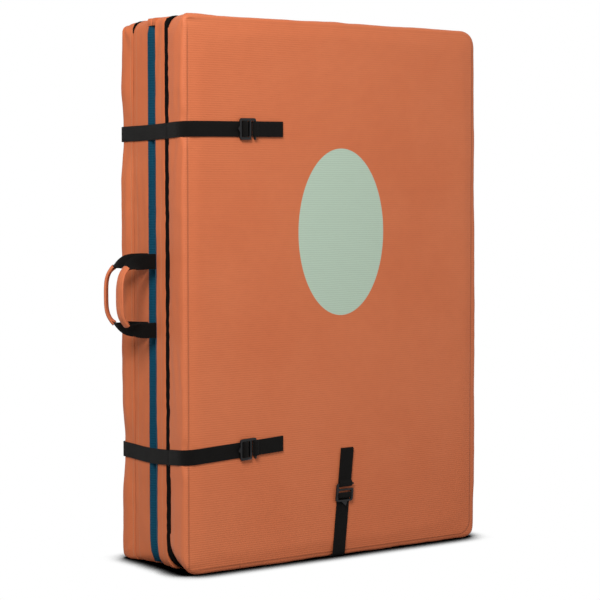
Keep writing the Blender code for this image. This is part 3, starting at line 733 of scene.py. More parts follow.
def cell_distance(tree, where, scale):
    """Distance from the middle of small cells, for open foam and mesh."""
    cells = tree.nodes.new("ShaderNodeTexVoronoi")
    tree.links.new(where.outputs["Object"], cells.inputs["Vector"])
    cells.inputs["Scale"].default_value = scale
    return cells.outputs["Distance"]


def padding_cloth():
    material, tree, shader, where = start_material(
        "black_padding", 0.85, Sheen_Weight=0.06, Sheen_Roughness=0.5, Specular_IOR_Level=0.18
    )
    # Painted shade: the mesh is darker in its holes.
    hole = between(tree, 0.15, 0.45, cell_distance(tree, where, 420.0))
    colour = mix_colour(tree, hole, (0.003, 0.003, 0.003, 1.0), (0.016, 0.015, 0.015, 1.0))
    join_shader(tree, shader, colour, hole, 0.0007)
    return material


def foam(name, light, dark):
    material, tree, shader, where = start_material(name, 0.92)
    distance = cell_distance(tree, where, 600.0)
    # Painted shade: the foam is darker in its pores.
    colour = mix_colour(tree, between(tree, 0.1, 0.6, distance), dark, light)
    join_shader(tree, shader, colour, distance, 0.0008)
    return material


black_padding = padding_cloth()
firm_foam = foam("firm_foam", (0.075, 0.075, 0.08, 1.0), (0.035, 0.035, 0.04, 1.0))
soft_foam = foam("soft_foam", (0.66, 0.62, 0.50, 1.0), (0.42, 0.38, 0.28, 1.0))
print("soft finishes ready")

# %% [markdown]
# ## Metal and plastic
#
# The hooks are black anodised aluminium, painted lighter in patches on their sharpest edges: partly
# rubbed wear, partly a painted highlight. The belt's buckle is moulded plastic with a fine spark-eroded
# grain.

# %% Hard finishes


def dark_metal():
    material, tree, shader, where = start_material("dark_metal", 0.45, 0.3, Specular_IOR_Level=0.28)
    blast = noise(tree, where.outputs["Object"], 1800.0, 2.0)
    rubs = noise(tree, where.outputs["Object"], 140.0, 4.0, 0.7)
    # Painted lighter on the sharpest edges, in patches: a painted edge highlight as well as rubbed
    # wear.
    edge = tree.nodes.new("ShaderNodeNewGeometry").outputs["Pointiness"]
    worn = product(tree, between(tree, 0.53, 0.62, edge), between(tree, 0.45, 0.65, rubs))
    colour = mix_colour(tree, worn, (0.0055, 0.0055, 0.0062, 1.0), (0.08, 0.08, 0.09, 1.0))
    join_shader(tree, shader, colour, blast, 0.00006, scaled(tree, rubs, 0.22, 0.36))
    return material


def moulded_plastic():
    material, tree, shader, where = start_material("black_moulding", 0.42)
    grain = noise(tree, where.outputs["Object"], 1500.0, 2.0)
    broad = noise(tree, where.outputs["Object"], 60.0, 3.0)
    colour = mix_colour(tree, broad, (0.010, 0.010, 0.011, 1.0), (0.020, 0.020, 0.021, 1.0))
    join_shader(tree, shader, colour, grain, 0.00010, scaled(tree, broad, 0.2, 0.34))
    return material


metal = dark_metal()
plastic = moulded_plastic()
print("hard finishes ready")

# %% [markdown]
# ## Foam slabs
#
# Each half holds three slabs: a firm landing layer, a soft core and a firm base. They are
# cut blocks with slightly rubbed edges, made from a cube that takes each solid's size.

# %% Cut the foam
FOAM_SHARE = (0.985, 0.985, 0.970)
FOAM_CORNER = 0.024


def foam_slab(half, layer, material, slot):
    solid = f"{half}_{layer}_foam"
    low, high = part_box(solid)
    deselect()
    bpy.ops.mesh.primitive_cube_add(size=1, location=(low + high) / 2)
    slab = just_added(f"{half}_{layer}_slab")
    slab.scale = (high - low) * Vector(FOAM_SHARE)
    apply_place(slab)
    choose_edges(slab, lambda a, b: abs(a[:, 1] - b[:, 1]) > 0.005)
    bpy.ops.mesh.bevel(offset=FOAM_CORNER, segments=6)
    leave_edit()
    modify(slab, "BEVEL", width=0.0015, segments=2, limit_method="ANGLE")
    finish_piece(slab, f"{half}_half", material, slot, solid)


for half in ("front", "back"):
    for layer, material, slot in (
        ("landing", firm_foam, "firm_foam"),
        ("core", soft_foam, "soft_foam"),
        ("base", firm_foam, "firm_foam"),
    ):
        foam_slab(half, layer, material, slot)
print("foam slabs: 6")

# %% [markdown]
# ## The outer covers
#
# Each cover is a padded lid: a face, walls, and a lip where it meets the dark closure.
# A grid gives even squares, its border is pulled out into the walls, and the square
# corners are pressed round. Cloth simulation under a little air pressure then makes the
# cloth swell between its pinned lip and its edge, as foam does from inside.

# %% Round the corners of a grid


def round_corners(points, centre, half, radius, plane=(0, 2)):
    """Presses the square corners of a grid into quarter circles."""
    reach = []
    for axis, middle, size in zip(plane, centre, half):
        away = points[:, axis] - middle
        reach.append((axis, middle, size, away))
    shares = [
        np.clip((abs(away) - (size - radius)) / radius, 0, 1) for _, _, size, away in reach
    ]
    for index, (axis, middle, size, away) in enumerate(reach):
        other = shares[1 - index]
        pressed = shares[index] * np.sqrt(1 - other * other / 2)
        beyond = shares[index] > 0
        moved = middle + np.sign(away) * (size - radius + pressed * radius)
        points[:, axis] = np.where(beyond, moved, points[:, axis])
    return points


def radius_at(corner, points):
    """A corner radius is one number, or a function of the place."""
    return corner(points) if callable(corner) else corner


print("corner tools ready")

# %% A face with walls


def grid_box(
    name,
    side,
    outer,
    inner,
    corner,
    across,
    up,
    walls,
    half_width=HALF_WIDTH,
    low=0.0,
    high=HEIGHT,
):
    """A face with walls that go back to the lip. It stays open behind."""
    step = (at_depth(side, inner) - at_depth(side, outer)) / walls
    facing = -math.copysign(1, step)
    middle = (low + high) / 2
    deselect()
    bpy.ops.mesh.primitive_grid_add(
        x_subdivisions=across,
        y_subdivisions=up,
        size=1,
        location=(0, at_depth(side, outer), middle),
        rotation=(math.radians(-90 * facing), 0, 0),
    )
    piece = just_added(name)
    piece.scale = (2 * half_width, high - low, 1)
    apply_place(piece)
    edit(piece, "DESELECT")
    bpy.ops.mesh.select_non_manifold()
    bpy.ops.mesh.select_mode(type="EDGE")
    for _ in range(walls):
        bpy.ops.mesh.extrude_region_move(TRANSFORM_OT_translate={"value": (0, step, 0)})
    leave_edit()
    points = points_of(piece)
    radius = radius_at(corner, points)
    points = round_corners(points, (0, middle), (half_width, (high - low) / 2), radius)
    move_points(piece, points)
    return piece


def close_back(piece):
    """Fills the open lip with one flat face, once nothing more is subdivided."""
    edit(piece, "DESELECT")
    bpy.ops.mesh.select_non_manifold()
    bpy.ops.mesh.edge_face_add()
    leave_edit()


print("face and wall tools ready")

# %% Round the rim of a face


def outline_distance(points, half_width, low, high, corner):
    """How far each point is inside the rounded outline, seen from the front."""
    middle = (low + high) / 2
    radius = radius_at(corner, points)
    x = abs(points[:, 0]) - (half_width - radius)
    z = abs(points[:, 2] - middle) - ((high - low) / 2 - radius)
    outside = np.hypot(np.maximum(x, 0), np.maximum(z, 0))
    inside = np.minimum(np.maximum(x, z), 0)
    return radius - (outside + inside)


def bevel_rim(
    piece,
    side,
    depth,
    radius,
    segments,
    corner,
    half_width=HALF_WIDTH,
    low=0.0,
    high=HEIGHT,
):
    """Rounds the edge between a face and its walls."""
    level = at_depth(side, depth)

    def at_border(points):
        inside = outline_distance(points, half_width, low, high, corner)
        return (abs(points[:, 1] - level) < 1e-5) & (inside < 1e-4)

    def on_rim(first, second):
        return at_border(first) & at_border(second)

    choose_edges(piece, on_rim)
    bpy.ops.mesh.bevel(offset=radius, segments=segments, profile=0.5)
    leave_edit()


print("rim tools ready")

# %% Swell cloth by simulation
CLOTH_FRAMES = 20
CLOTH_PRESSURE = 4.0
CLOTH_STIFFNESS = 15.0


def swell(piece, pinned, cap):
    """Blows the cloth up a little, keeps every point within the cap and off the foam."""
    before = points_of(piece)
    normals = normals_of(piece)
    group = piece.vertex_groups.new(name="pinned")
    group.add(np.flatnonzero(pinned).tolist(), 1.0, "REPLACE")
    pick(piece)
    cloth = piece.modifiers.new("cloth", "CLOTH")
    settings = cloth.settings
    settings.quality = 5
    settings.mass = 0.25
    settings.tension_stiffness = CLOTH_STIFFNESS
    settings.compression_stiffness = CLOTH_STIFFNESS
    settings.shear_stiffness = 5.0
    settings.bending_stiffness = 0.6
    settings.use_pressure = True
    settings.uniform_pressure_force = CLOTH_PRESSURE
    settings.vertex_group_mass = group.name
    settings.effector_weights.gravity = 0
    cloth.collision_settings.use_collision = False
    for step in range(1, CLOTH_FRAMES + 1):
        scene.frame_set(step)
    bpy.ops.object.modifier_apply(modifier=cloth.name)
    after = points_of(piece)
    move = after - before
    length = np.linalg.norm(move, axis=1)
    share = np.minimum(1, cap / np.maximum(length, 1e-9))
    move *= share[:, None]
    outward = (move * normals).sum(axis=1)
    sunk = np.minimum(outward + 0.0008, 0)
    move_points(piece, before + move - normals * sunk[:, None])
    piece.vertex_groups.clear()
    scene.frame_set(1)
    return float(length.max())


print("cloth frames:", CLOTH_FRAMES)

# %% Ripples, creases and puckers


def ripple(piece, size, strength, seed_shift=(0, 0, 0), hold=None):
    """Waves of one size along the surface, from a clouds texture."""
    clouds = bpy.data.textures.new(piece.name + "_waves", "CLOUDS")
    clouds.noise_scale = size
    clouds.noise_depth = 1
    deselect()
    bpy.ops.object.empty_add(location=seed_shift)
    spot = bpy.context.object
    values = dict(
        texture=clouds,
        texture_coords="OBJECT",
        texture_coords_object=spot,
        strength=strength,
        mid_level=0.5,
    )
    if hold is not None:
        group = piece.vertex_groups.new(name="waves")
        steps = np.round(hold * 20).astype(int)
        for step in range(1, 21):
            group.add(np.flatnonzero(steps == step).tolist(), step / 20, "REPLACE")
        values["vertex_group"] = group.name
    modify(piece, "DISPLACE", **values)
    piece.vertex_groups.clear()
    bpy.data.objects.remove(spot)
    bpy.data.textures.remove(clouds)


def crease(piece, side, height, phase, share):
    """Soft creases that run along the walls, where the cloth was folded in its pack."""
    points = points_of(piece)
    normals = normals_of(piece)
    depth = depth_of(points, side)
    run = np.where(abs(normals[:, 0]) > abs(normals[:, 2]), points[:, 2], points[:, 0])
    wander = 2.2 * np.sin(run * 9 + phase) + 1.1 * np.sin(run * 23 + 2 * phase)
    strength = 0.5 + 0.5 * np.sin(run * 17 + 3 * phase)
    rise = height * np.sin(depth * math.tau / 0.021 + wander) * strength * share
    facing = np.clip(1 - abs(normals[:, 1]) * 2, 0, 1)
    move_points(piece, points + normals * (rise * facing)[:, None])


def pucker(piece, centre, reach, height, folds, phase=0.0, plane=(1, 2)):
    """Short folds that fan out from a corner where the seams meet."""
    points = points_of(piece)
    normals = normals_of(piece)
    offset = points - np.array(centre)
    distance = np.linalg.norm(offset, axis=1)
    angle = np.arctan2(offset[:, plane[1]], offset[:, plane[0]])
    fade = np.clip(1 - distance / reach, 0, 1)
    rise = height * np.cos(folds * angle + phase) * fade * fade * np.clip(distance / 0.012, 0, 1)
    move_points(piece, points + normals * rise[:, None])


print("ripples, creases and puckers ready")

# %% Where straps and the floor hold the cloth
STRAP_HEIGHTS = (0.188, 0.716)
LOOP_HEIGHTS = (0.392, 0.5045)


def hold_back(points, bulge):
    """Cloth may stand a little proud of the sides, but not under a strap or on the floor."""
    room = np.broadcast_to(bulge, len(points))
    for height in STRAP_HEIGHTS + LOOP_HEIGHTS:
        away = np.clip((abs(points[:, 2] - height) - 0.016) / 0.035, 0, 1)
        room = np.minimum(room, bulge * away * away * (3 - 2 * away))
    points[:, 0] = np.maximum(points[:, 0], -HALF_WIDTH - 0.0001 - room)
    points[:, 0] = np.minimum(points[:, 0], HALF_WIDTH + 0.0001)
    points[:, 2] = np.maximum(points[:, 2], 0.0)
    return points


STRAP_BEND = 0.024
EDGE_HEIGHTS = (0.1915, 0.7175)


def press_edge(points):
    """The tight straps press the front left edge in where they bend round it."""
    inward = np.array((-1, FRONT)) / math.sqrt(2)
    bend = np.array((SIDE_X, at_depth(FRONT, WEB_LEVEL))) - np.array((-1, FRONT)) * STRAP_BEND / 4
    reach = points[:, :2] @ inward - (bend @ inward - 0.0014)
    away = abs(points[:, 2, None] - np.array(EDGE_HEIGHTS)).min(axis=1)
    share = np.clip(1 - (away - 0.012) / 0.022, 0, 1)
    share *= share * (3 - 2 * share)
    points[:, :2] -= inward * (np.maximum(reach, 0) * share)[:, None]
    return points


print("holds at the straps ready")

# %% Where the sides are drawn in or stand out
TUCK = 0.0065
TUCK_RUN = 0.060


def tuck(points, share=1.0):
    """The lower left corner of the pad is drawn in, as soft foam is under its own weight."""
    low = np.clip(1 - points[:, 2] / TUCK_RUN, 0, 1) ** 2
    near_side = np.clip((-0.235 - points[:, 0]) / 0.06, 0, 1)
    points[:, 0] += TUCK * low * near_side * share
    return points


def belly(points, share, left, right):
    """The sides of a cover stand out between the straps, most in the lower half."""
    height = points[:, 2]
    room = np.ones(len(points))
    for level in STRAP_HEIGHTS:
        room = np.minimum(room, np.clip((abs(height - level) - 0.020) / 0.060, 0, 1))
    room *= room * (3 - 2 * room)
    ends = np.clip((0.86 - height) / 0.50, 0, 1) * (0.70 + 0.30 * np.clip(height / 0.12, 0, 1))
    over = np.clip(abs(points[:, 0]) / HALF_WIDTH * 6 - 5, 0, 1) * share
    room *= np.clip((0.88 - height) / 0.10, 0, 1)
    leftward = np.where(points[:, 0] < 0, left * room, 0)
    rightward = np.where(points[:, 0] > 0, right * ends, 0)
    points[:, 0] += (rightward - leftward) * over
    return points


print("drawn in by", TUCK)

# %% Sizes of the covers
FLAT = 0.1
CROWN_RUN = 0.06
RIM_RADIUS = 0.007
COVER_SWELL = 0.005
LIPS = {"front": 0.0524, "back": 0.0618}
RIGHT_CORNERS = (0.029, 0.018)
TOP_SAG = {"front": 0.0, "back": 0.008}
LIP_GAP = {"front": 0.0013, "back": -0.0007}
LEFT_BELLY = {"front": 0.0012, "back": 0.0048}
RIGHT_BELLY = {"front": 0.0070, "back": 0.0030}
LIP_WAVE = {"front": 1.3, "back": 0.2}
FRONT_FACE = at_depth(FRONT, CROWNED_DEPTH)
SIDE_PLANE = (1, 2)
FACE_PLANE = (0, 2)
PUCKERS = {
    "front": (
        ((-0.3, at_depth(FRONT, 0.095), 0.895), 0.075, 0.0016, 7, 0.4, SIDE_PLANE),
        ((-0.3, at_depth(FRONT, 0.095), 0.006), 0.060, 0.0012, 6, 1.2, SIDE_PLANE),
        ((-0.176, FRONT_FACE, 0.733), 0.045, 0.0008, 9, 0.2, FACE_PLANE),
        ((-0.176, FRONT_FACE, 0.183), 0.040, 0.0007, 8, 0.9, FACE_PLANE),
    ),
    "back": (
        ((-0.3, at_depth(BACK, 0.095), 0.895), 0.090, 0.0018, 8, 0.2, SIDE_PLANE),
        ((-0.3, at_depth(BACK, 0.095), 0.006), 0.070, 0.0014, 7, 0.8, SIDE_PLANE),
    ),
}
print("puckers:", sum(len(folds) for folds in PUCKERS.values()))

# %% Corner radii and the cut edge


def cover_corner(side, lip, face_corners, lip_corners):
    """Radii as (upper, lower): nearly square on the left of the face, rounder at the lip."""

    def radius(points):
        depth = depth_of(points, side)
        back = np.clip((FLAT - depth) / (FLAT - lip), 0, 1)
        upper = points[:, 2] > MIDDLE_HEIGHT
        at_face, at_lip, right = (
            np.where(upper, *pair) for pair in (face_corners, lip_corners, RIGHT_CORNERS)
        )
        return np.where(points[:, 0] < 0, at_face + (at_lip - at_face) * back, right)

    return radius


def lip_wave(points):
    """How far the cut edge of the opening wanders, in metres."""
    run = points[:, 0] + points[:, 2]
    broad = np.sin(run * 41 + 1.3) + 0.6 * np.sin(run * 97)
    fine = np.sin(run * 260 + 2 * np.sin(run * 61))
    return 0.0005 * broad + 0.0006 * fine


print("corner radii and cut edge ready")

# %% Crown, settle and finish a cover


def crowned_grid(half, side, lip, corner):
    """The cover's grid with a rounded rim and a face that rises to its crown."""
    piece = grid_box(f"{half}_outer_cover", side, FLAT, lip, corner, 60, 90, 5)
    bevel_rim(piece, side, FLAT, RIM_RADIUS, 3, corner)
    points = points_of(piece)
    inside = outline_distance(points, HALF_WIDTH, 0, HEIGHT, corner)
    on_face = abs(points[:, 1] - at_depth(side, FLAT)) < 1e-5
    rise = np.clip((inside - 0.006) / CROWN_RUN, 0, 1)
    crown = (CROWNED_DEPTH - FLAT) * np.sin(rise * math.pi / 2)
    points[:, 1] += side * crown * on_face
    move_points(piece, points)
    return piece, inside


def settle(piece, half, side, lip):
    """Sags the top, wanders the lip, and keeps the cloth off the straps and the floor."""
    points = points_of(piece)
    top = np.clip((points[:, 2] - 0.80) / 0.10, 0, 1) ** 2
    outer = np.clip((depth_of(points, side) - lip) / (FLAT - lip), 0, 1)
    points[:, 2] -= TOP_SAG[half] * top * outer
    limit = side * at_depth(side, CROWNED_DEPTH - 0.0001)
    points[:, 1] = side * np.minimum(side * points[:, 1], limit)
    behind = np.clip((depth_of(points, side) - lip) / 0.018, 0, 1)
    lip_shift = LIP_GAP[half] + LIP_WAVE[half] * lip_wave(points)
    points[:, 1] += side * lip_shift * (1 - behind) ** 2
    points = hold_back(points, 0.0001 + 0.0014 * behind)
    points = tuck(points, (1 - behind) * (half == "front"))
    points = belly(points, behind, LEFT_BELLY[half], RIGHT_BELLY[half])
    move_points(piece, press_edge(points) if half == "front" else points)


def outer_cover(half, side, lip, face_corners, lip_corners, material, shift):
    corner = cover_corner(side, lip, face_corners, lip_corners)
    piece, inside = crowned_grid(half, side, lip, corner)
    depth = depth_of(points_of(piece), side)
    lip_points = abs(depth - lip) < 1e-5
    rim_points = (depth > FLAT - 0.0075) & (inside < 0.0075)
    grew = swell(piece, lip_points | rim_points, COVER_SWELL)
    subdivide(piece)
    wall = np.clip((FLAT + 0.004 - depth_of(points_of(piece), side)) / 0.01, 0, 1)
    ripple(piece, 0.11, 0.0024, shift, 0.35 + 0.65 * wall)
    ripple(piece, 0.035, 0.0016, shift, 0.10 + 0.90 * wall)
    crease(piece, side, 0.0007, shift[0] * 9, wall)
    settle(piece, half, side, lip)
    for centre, reach, height, folds, phase, plane in PUCKERS[half]:
        pucker(piece, centre, reach, height, folds, phase, plane)
    points = points_of(piece)
    points[:, 2] = np.maximum(points[:, 2], 0)
    move_points(piece, points)
    close_back(piece)
    finish_piece(piece, f"{half}_half", material, "orange_nylon", f"{half}_lid", smooth=60)
    return piece, grew


print("cover steps ready")

# %% Make both covers
front_cover, front_grew = outer_cover(
    "front", FRONT, LIPS["front"], (0.010, 0.026), (0.026, 0.050), orange_face, (0.3, 0.1, 0.2)
)
back_cover, back_grew = outer_cover(
    "back", BACK, LIPS["back"], (0.004, 0.004), (0.026, 0.008), orange_back, (1.3, 0.7, 0.4)
)
print("covers:", len(front_cover.data.vertices), "points each")
print("cloth moved", round(front_grew, 4), "and", round(back_grew, 4))

# %% [markdown]
# The covers stand out at the hinge side. When the pad lies open these two sides meet; here each cover
# gets its own mesh, and the share of its width that would leave them room is printed.

# %% Width that the hinge sides would keep
PRESS_ROOM = 0.0004
for cover in (front_cover, back_cover):
    reach = points_of(cover)[:, 0].max() + HALF_WIDTH
    keep = (2 * HALF_WIDTH - PRESS_ROOM) / reach
    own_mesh(cover)
    print(cover.name, "keeps", round(keep, 4), "of its width")

# %% [markdown]
# ## Walls, closures and landing panels
#
# Behind each cover the half goes on as a narrow wall, a black closure tape set back
# between them, and the teal landing panel with its fully rounded edge.

# %% Walls of the two halves
GRID_ACROSS = 48
GRID_UP = 84
WALL_RIM = 0.0014
WALL_DEPTHS = {"front": (0.0126, 0.0429), "back": (0.0126, 0.0600)}


def wall_corner(half, side, near, far):
    """The back wall follows its cover round the upper left corner, and leaves a thin slit."""

    def radius(points):
        share = np.clip((depth_of(points, side) - near) / (far - near), 0, 1)
        left = points[:, 0] < 0
        upper = points[:, 2] > MIDDLE_HEIGHT
        follows = (half == "back") & left & upper
        lower_left = 0.020 if half == "front" else 0.020 - 0.010 * share
        radius = np.where(left & ~upper, lower_left, 0.010)
        return np.where(follows, 0.010 + 0.014 * share, radius)

    return radius


def wall_band(half, side, near, far, shift):
    corner = wall_corner(half, side, near, far)
    piece = grid_box(f"{half}_wall", side, far, near, corner, GRID_ACROSS, GRID_UP, 4)
    for depth in (near, far):
        bevel_rim(piece, side, depth, WALL_RIM, 2, corner)
    subdivide(piece)
    points = points_of(piece)
    middle = (near + far) / 2
    share = abs(depth_of(points, side) - middle) / (far - near) * 2
    everywhere = np.ones(len(points))
    ripple(piece, 0.09, 0.0018, shift, everywhere)
    ripple(piece, 0.03, 0.0014, shift, everywhere)
    crease(piece, side, 0.0006, shift[1] * 9, everywhere)
    moved = points_of(piece)
    moved[:, 1] = np.where(share > 0.9, points[:, 1], moved[:, 1])
    lip_share = np.clip((depth_of(moved, side) - far + 0.012) / 0.012, 0, 1)
    lip_shift = LIP_GAP[half] + LIP_WAVE[half] * lip_wave(moved + 0.37)
    moved[:, 1] -= side * lip_shift * lip_share**2
    moved = hold_back(moved, 0.0012)
    from_parting = (depth_of(moved, side) - near) / (far - near)
    tucked = 1.0 if half == "front" else np.clip(1 - from_parting, 0, 1)
    move_points(piece, tuck(moved, tucked))
    close_back(piece)
    finish_piece(piece, f"{half}_half", orange_wall, "orange_nylon", f"{half}_sidewall")


wall_band("front", FRONT, *WALL_DEPTHS["front"], (0.2, 0.9, 0.1))
wall_band("back", BACK, *WALL_DEPTHS["back"], (0.8, 0.4, 0.6))
print("walls: 2")

# %% Closure tapes
TAPE_DEPTHS = {"front": (0.0410, 0.0550), "back": (0.0590, 0.0630)}
TAPE_INSETS = {"front": 0.0004, "back": 0.0012}


def tape_corner(points):
    """Rounder at the lower left, where the wall shows below the opening."""
    return np.where((points[:, 0] < 0) & (points[:, 2] < MIDDLE_HEIGHT), 0.034, 0.014)


def closure(half, side, near, far, inset):
    size = (HALF_WIDTH - inset, inset, HEIGHT - inset)
    grid = (GRID_ACROSS, GRID_UP, 2)
    piece = grid_box(f"{half}_closure", side, far, near, tape_corner, *grid, *size)
    if half == "front":
        move_points(piece, tuck(points_of(piece)))
    close_back(piece)
    finish_piece(piece, f"{half}_half", hook_tape, "black_hook_tape", f"{half}_closure_tape")


closure("front", FRONT, *TAPE_DEPTHS["front"], TAPE_INSETS["front"])
closure("back", BACK, *TAPE_DEPTHS["back"], TAPE_INSETS["back"])
print("closure tapes: 2")

# %% A panel with a quarter round edge
NEAR = 0.0003
FAR = 0.0123
TIGHT = 0.002
QUARTER_STEPS = 6


def quarter_round(name, side, radius, low, high, across, up):
    """A panel whose whole edge is a quarter circle from the parting plane to the wall."""
    walls = QUARTER_STEPS + 1
    size = (HALF_WIDTH - radius, low + radius, high - radius)
    piece = grid_box(name, side, NEAR, FAR, TIGHT, across, up, walls, *size)
    points = points_of(piece)
    loop = np.rint((depth_of(points, side) - NEAR) / (FAR - NEAR) * walls)
    angle = np.minimum(loop / QUARTER_STEPS, 1) * math.pi / 2
    middle = (low + high) / 2
    half_size = np.array((HALF_WIDTH - radius - TIGHT, (high - low) / 2 - radius - TIGHT))
    flat = points[:, (0, 2)] - (0, middle)
    core = np.clip(flat, -half_size, half_size)
    outward = flat - core
    length = np.linalg.norm(outward, axis=1)
    outward /= np.maximum(length, 1e-9)[:, None]
    offset = radius * np.sin(angle) * (length > TIGHT * 0.5)
    points[:, 0] += outward[:, 0] * offset
    points[:, 2] += outward[:, 1] * offset
    depth = np.where(loop > QUARTER_STEPS, FAR, NEAR + radius * (1 - np.cos(angle)))
    points[:, 1] = PARTING + side * depth
    move_points(piece, points)
    return piece


print("quarter round steps:", QUARTER_STEPS)

# %% Landing panels and top bands
PANEL_ROUND = 0.0115
BAND_ROUND = 0.0030


def landing(half, side):
    low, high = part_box(f"{half}_landing_panel")
    size = (low[2], high[2] + PANEL_ROUND, GRID_ACROSS, GRID_UP)
    piece = quarter_round(f"{half}_landing_cover", side, PANEL_ROUND, *size)
    ripple(piece, 0.06, 0.0008, (0.1, side, 0.5))
    points = points_of(piece)
    points[:, 0] = np.clip(points[:, 0], -HALF_WIDTH, HALF_WIDTH)
    points[:, 1] = PARTING + side * np.maximum(depth_of(points, side), NEAR)
    move_points(piece, tuck(points))
    close_back(piece)
    finish_piece(piece, f"{half}_half", teal_cloth, "teal_nylon", f"{half}_landing_panel", smooth=60)


def top_band(half, side):
    low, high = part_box(f"{half}_top_band")
    size = (low[2], high[2], GRID_ACROSS, 3)
    piece = quarter_round(f"{half}_top_cover", side, BAND_ROUND, *size)
    close_back(piece)
    finish_piece(piece, f"{half}_half", orange_wall, "orange_nylon", f"{half}_top_band")


for half, side in (("front", FRONT), ("back", BACK)):
    landing(half, side)
    top_band(half, side)
print("landing panels and top bands: 4")

# %% [markdown]
# ## The hinge cloth
#
# On the right edge a strip of the same nylon joins the halves. It is sewn flat to both walls.

# %% Join the halves with the hinge cloth
low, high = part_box("front_hinge_leaf")
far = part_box("back_hinge_leaf")[1]
hinge_width = far[1] - low[1]
hinge_height = high[2] - low[2]
deselect()
bpy.ops.mesh.primitive_grid_add(
    x_subdivisions=80,
    y_subdivisions=40,
    size=1,
    location=((low[0] + high[0]) / 2, PARTING, MIDDLE_HEIGHT),
    rotation=(math.radians(90), 0, math.radians(90)),
)
hinge_cloth = just_added("hinge_cloth")
hinge_cloth.scale = (hinge_width, hinge_height, 1)
apply_place(hinge_cloth)
modify(hinge_cloth, "SOLIDIFY", thickness=0.0009, offset=0)
modify(hinge_cloth, "BEVEL", width=0.0003, segments=1, limit_method="ANGLE")
leaves = ("front_hinge_leaf", "back_hinge_leaf")
finish_piece(hinge_cloth, None, orange_wall, "orange_nylon", *leaves)
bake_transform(hinge_cloth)
print("hinge cloth", round(hinge_width, 3), "by", round(hinge_height, 3))

# %% [markdown]
# ## Straps
#
# A strap is a flat strip cut to its real length and laid along its route. A grid keeps
# its map while its rows are moved to the route's points, so the weave is never
# stretched. Solidify then gives it thickness and Bevel softens its cut edges.

# %% Lay webbing along a route
WEB_EDGE = 0.00035


def turned_route(corners, radius=0.003, spacing=0.008):
    """Straight runs with each corner rounded, as points close enough for a smooth bend."""
    corners = [np.array(p, float) for p in corners]
    rounded = [corners[0]]
    for before, here, after in zip(corners, corners[1:], corners[2:]):
        back = before - here
        ahead = after - here
        reach = min(radius, np.linalg.norm(back) * 0.49, np.linalg.norm(ahead) * 0.49)
        start = here + back / np.linalg.norm(back) * reach
        end = here + ahead / np.linalg.norm(ahead) * reach
        for share in np.linspace(0, 1, 6):
            first = start + (here - start) * share
            second = here + (end - here) * share
            rounded.append(first + (second - first) * share)
    rounded.append(corners[-1])
    dense = [rounded[0]]
    for point in rounded[1:]:
        gap = np.linalg.norm(point - dense[-1])
        if gap < 1e-6:
            continue
        pieces = max(1, int(gap / spacing))
        last = dense[-1]
        dense += [last + (point - last) * (k + 1) / pieces for k in range(pieces)]
    return np.array(dense)


def draw_map(strip, route, row, across):
    """Writes the strip's own map in metres: along its route, and across it."""
    lengths = np.linalg.norm(np.diff(route, axis=0), axis=1)
    along = np.concatenate(([0], np.cumsum(lengths)))
    loops = np.empty(len(strip.data.loops), int)
    strip.data.loops.foreach_get("vertex_index", loops)
    mapped = np.stack((along[row], across), axis=1)[loops]
    strip.data.uv_layers[0].data.foreach_set("uv", mapped.ravel())
    return along[-1]


def webbing(name, route, across, width=WEB_WIDTH, thickness=WEB):
    route = np.asarray(route, float)
    count = len(route)
    widths = np.broadcast_to(width, count)
    directions = np.broadcast_to(np.asarray(across, float), (count, 3))
    deselect()
    bpy.ops.mesh.primitive_grid_add(x_subdivisions=count - 1, y_subdivisions=4, size=1)
    strip = just_added(name)
    flat = points_of(strip)
    row = np.rint((flat[:, 0] + 0.5) * (count - 1)).astype(int)
    across_strip = flat[:, 1] * widths[row]
    draw_map(strip, route, row, across_strip)
    move_points(strip, route[row] + directions[row] * across_strip[:, None])
    modify(strip, "SOLIDIFY", thickness=thickness, offset=0, use_even_offset=True)
    modify(strip, "BEVEL", width=WEB_EDGE, segments=2, limit_method="ANGLE")
    return strip


print("webbing tools ready")

# %% Eyes round bars and anchor loops
EYE_LEVEL = 0.1071
EYE_RISE = 2 * (EYE_LEVEL - WEB_LEVEL)
EYE_HALF = 0.0034
EYE_TURN = 0.0012
EYE_SPACING = 0.003
ANCHOR_SPACING = 0.006
UPRIGHT = (0, 0, 1)
LEVEL = (1, 0, 0)


def eye_round(bar, toward):
    """An eye as (along, depth): under the bar, up round its far side, over it and down."""
    points = []
    for along, height in (
        (-0.0060, 0.0),
        (0.0, 0.0),
        (0.0022, 0.0),
        (EYE_HALF, 0.0012),
        (EYE_HALF, 0.0048),
        (0.0022, EYE_RISE),
        (-0.0022, EYE_RISE),
        (-EYE_HALF, 0.0048),
        (-0.0049, 0.0013),
    ):
        points.append((bar + toward * along, WEB_LEVEL + height))
    return points


def anchor_round(end, bar, toward):
    """An anchor loop: flat from its sewn end, round the hook's bar and back on itself."""
    doubled = WEB_LEVEL + WEB
    back = [(bar - toward * 0.0072, doubled), (end + toward * 0.002, doubled)]
    return [(end, WEB_LEVEL)] + eye_round(bar, toward)[1:-1] + back


print("eye rise", round(EYE_RISE, 4))

# %% Softened copies of the hooks


def softened(solid, name, body, material, slot, width=0.0005):
    """A copy of a measured solid whose edges are broken, as tumbling or a mould does."""
    source = nodes[solid]
    copy = source.copy()
    copy.data = source.data.copy()
    for key in list(copy.keys()):
        del copy[key]
    copy.parent = None
    copy.name = name
    scene.collection.objects.link(copy)
    edit(copy)
    bpy.ops.mesh.remove_doubles(threshold=0.00001)
    bpy.ops.mesh.dissolve_limited(angle_limit=math.radians(1))
    leave_edit()
    sharp = math.radians(35)
    modify(copy, "BEVEL", width=width, segments=3, limit_method="ANGLE", angle_limit=sharp)
    finish_piece(copy, body, material, slot, solid, smooth=35)


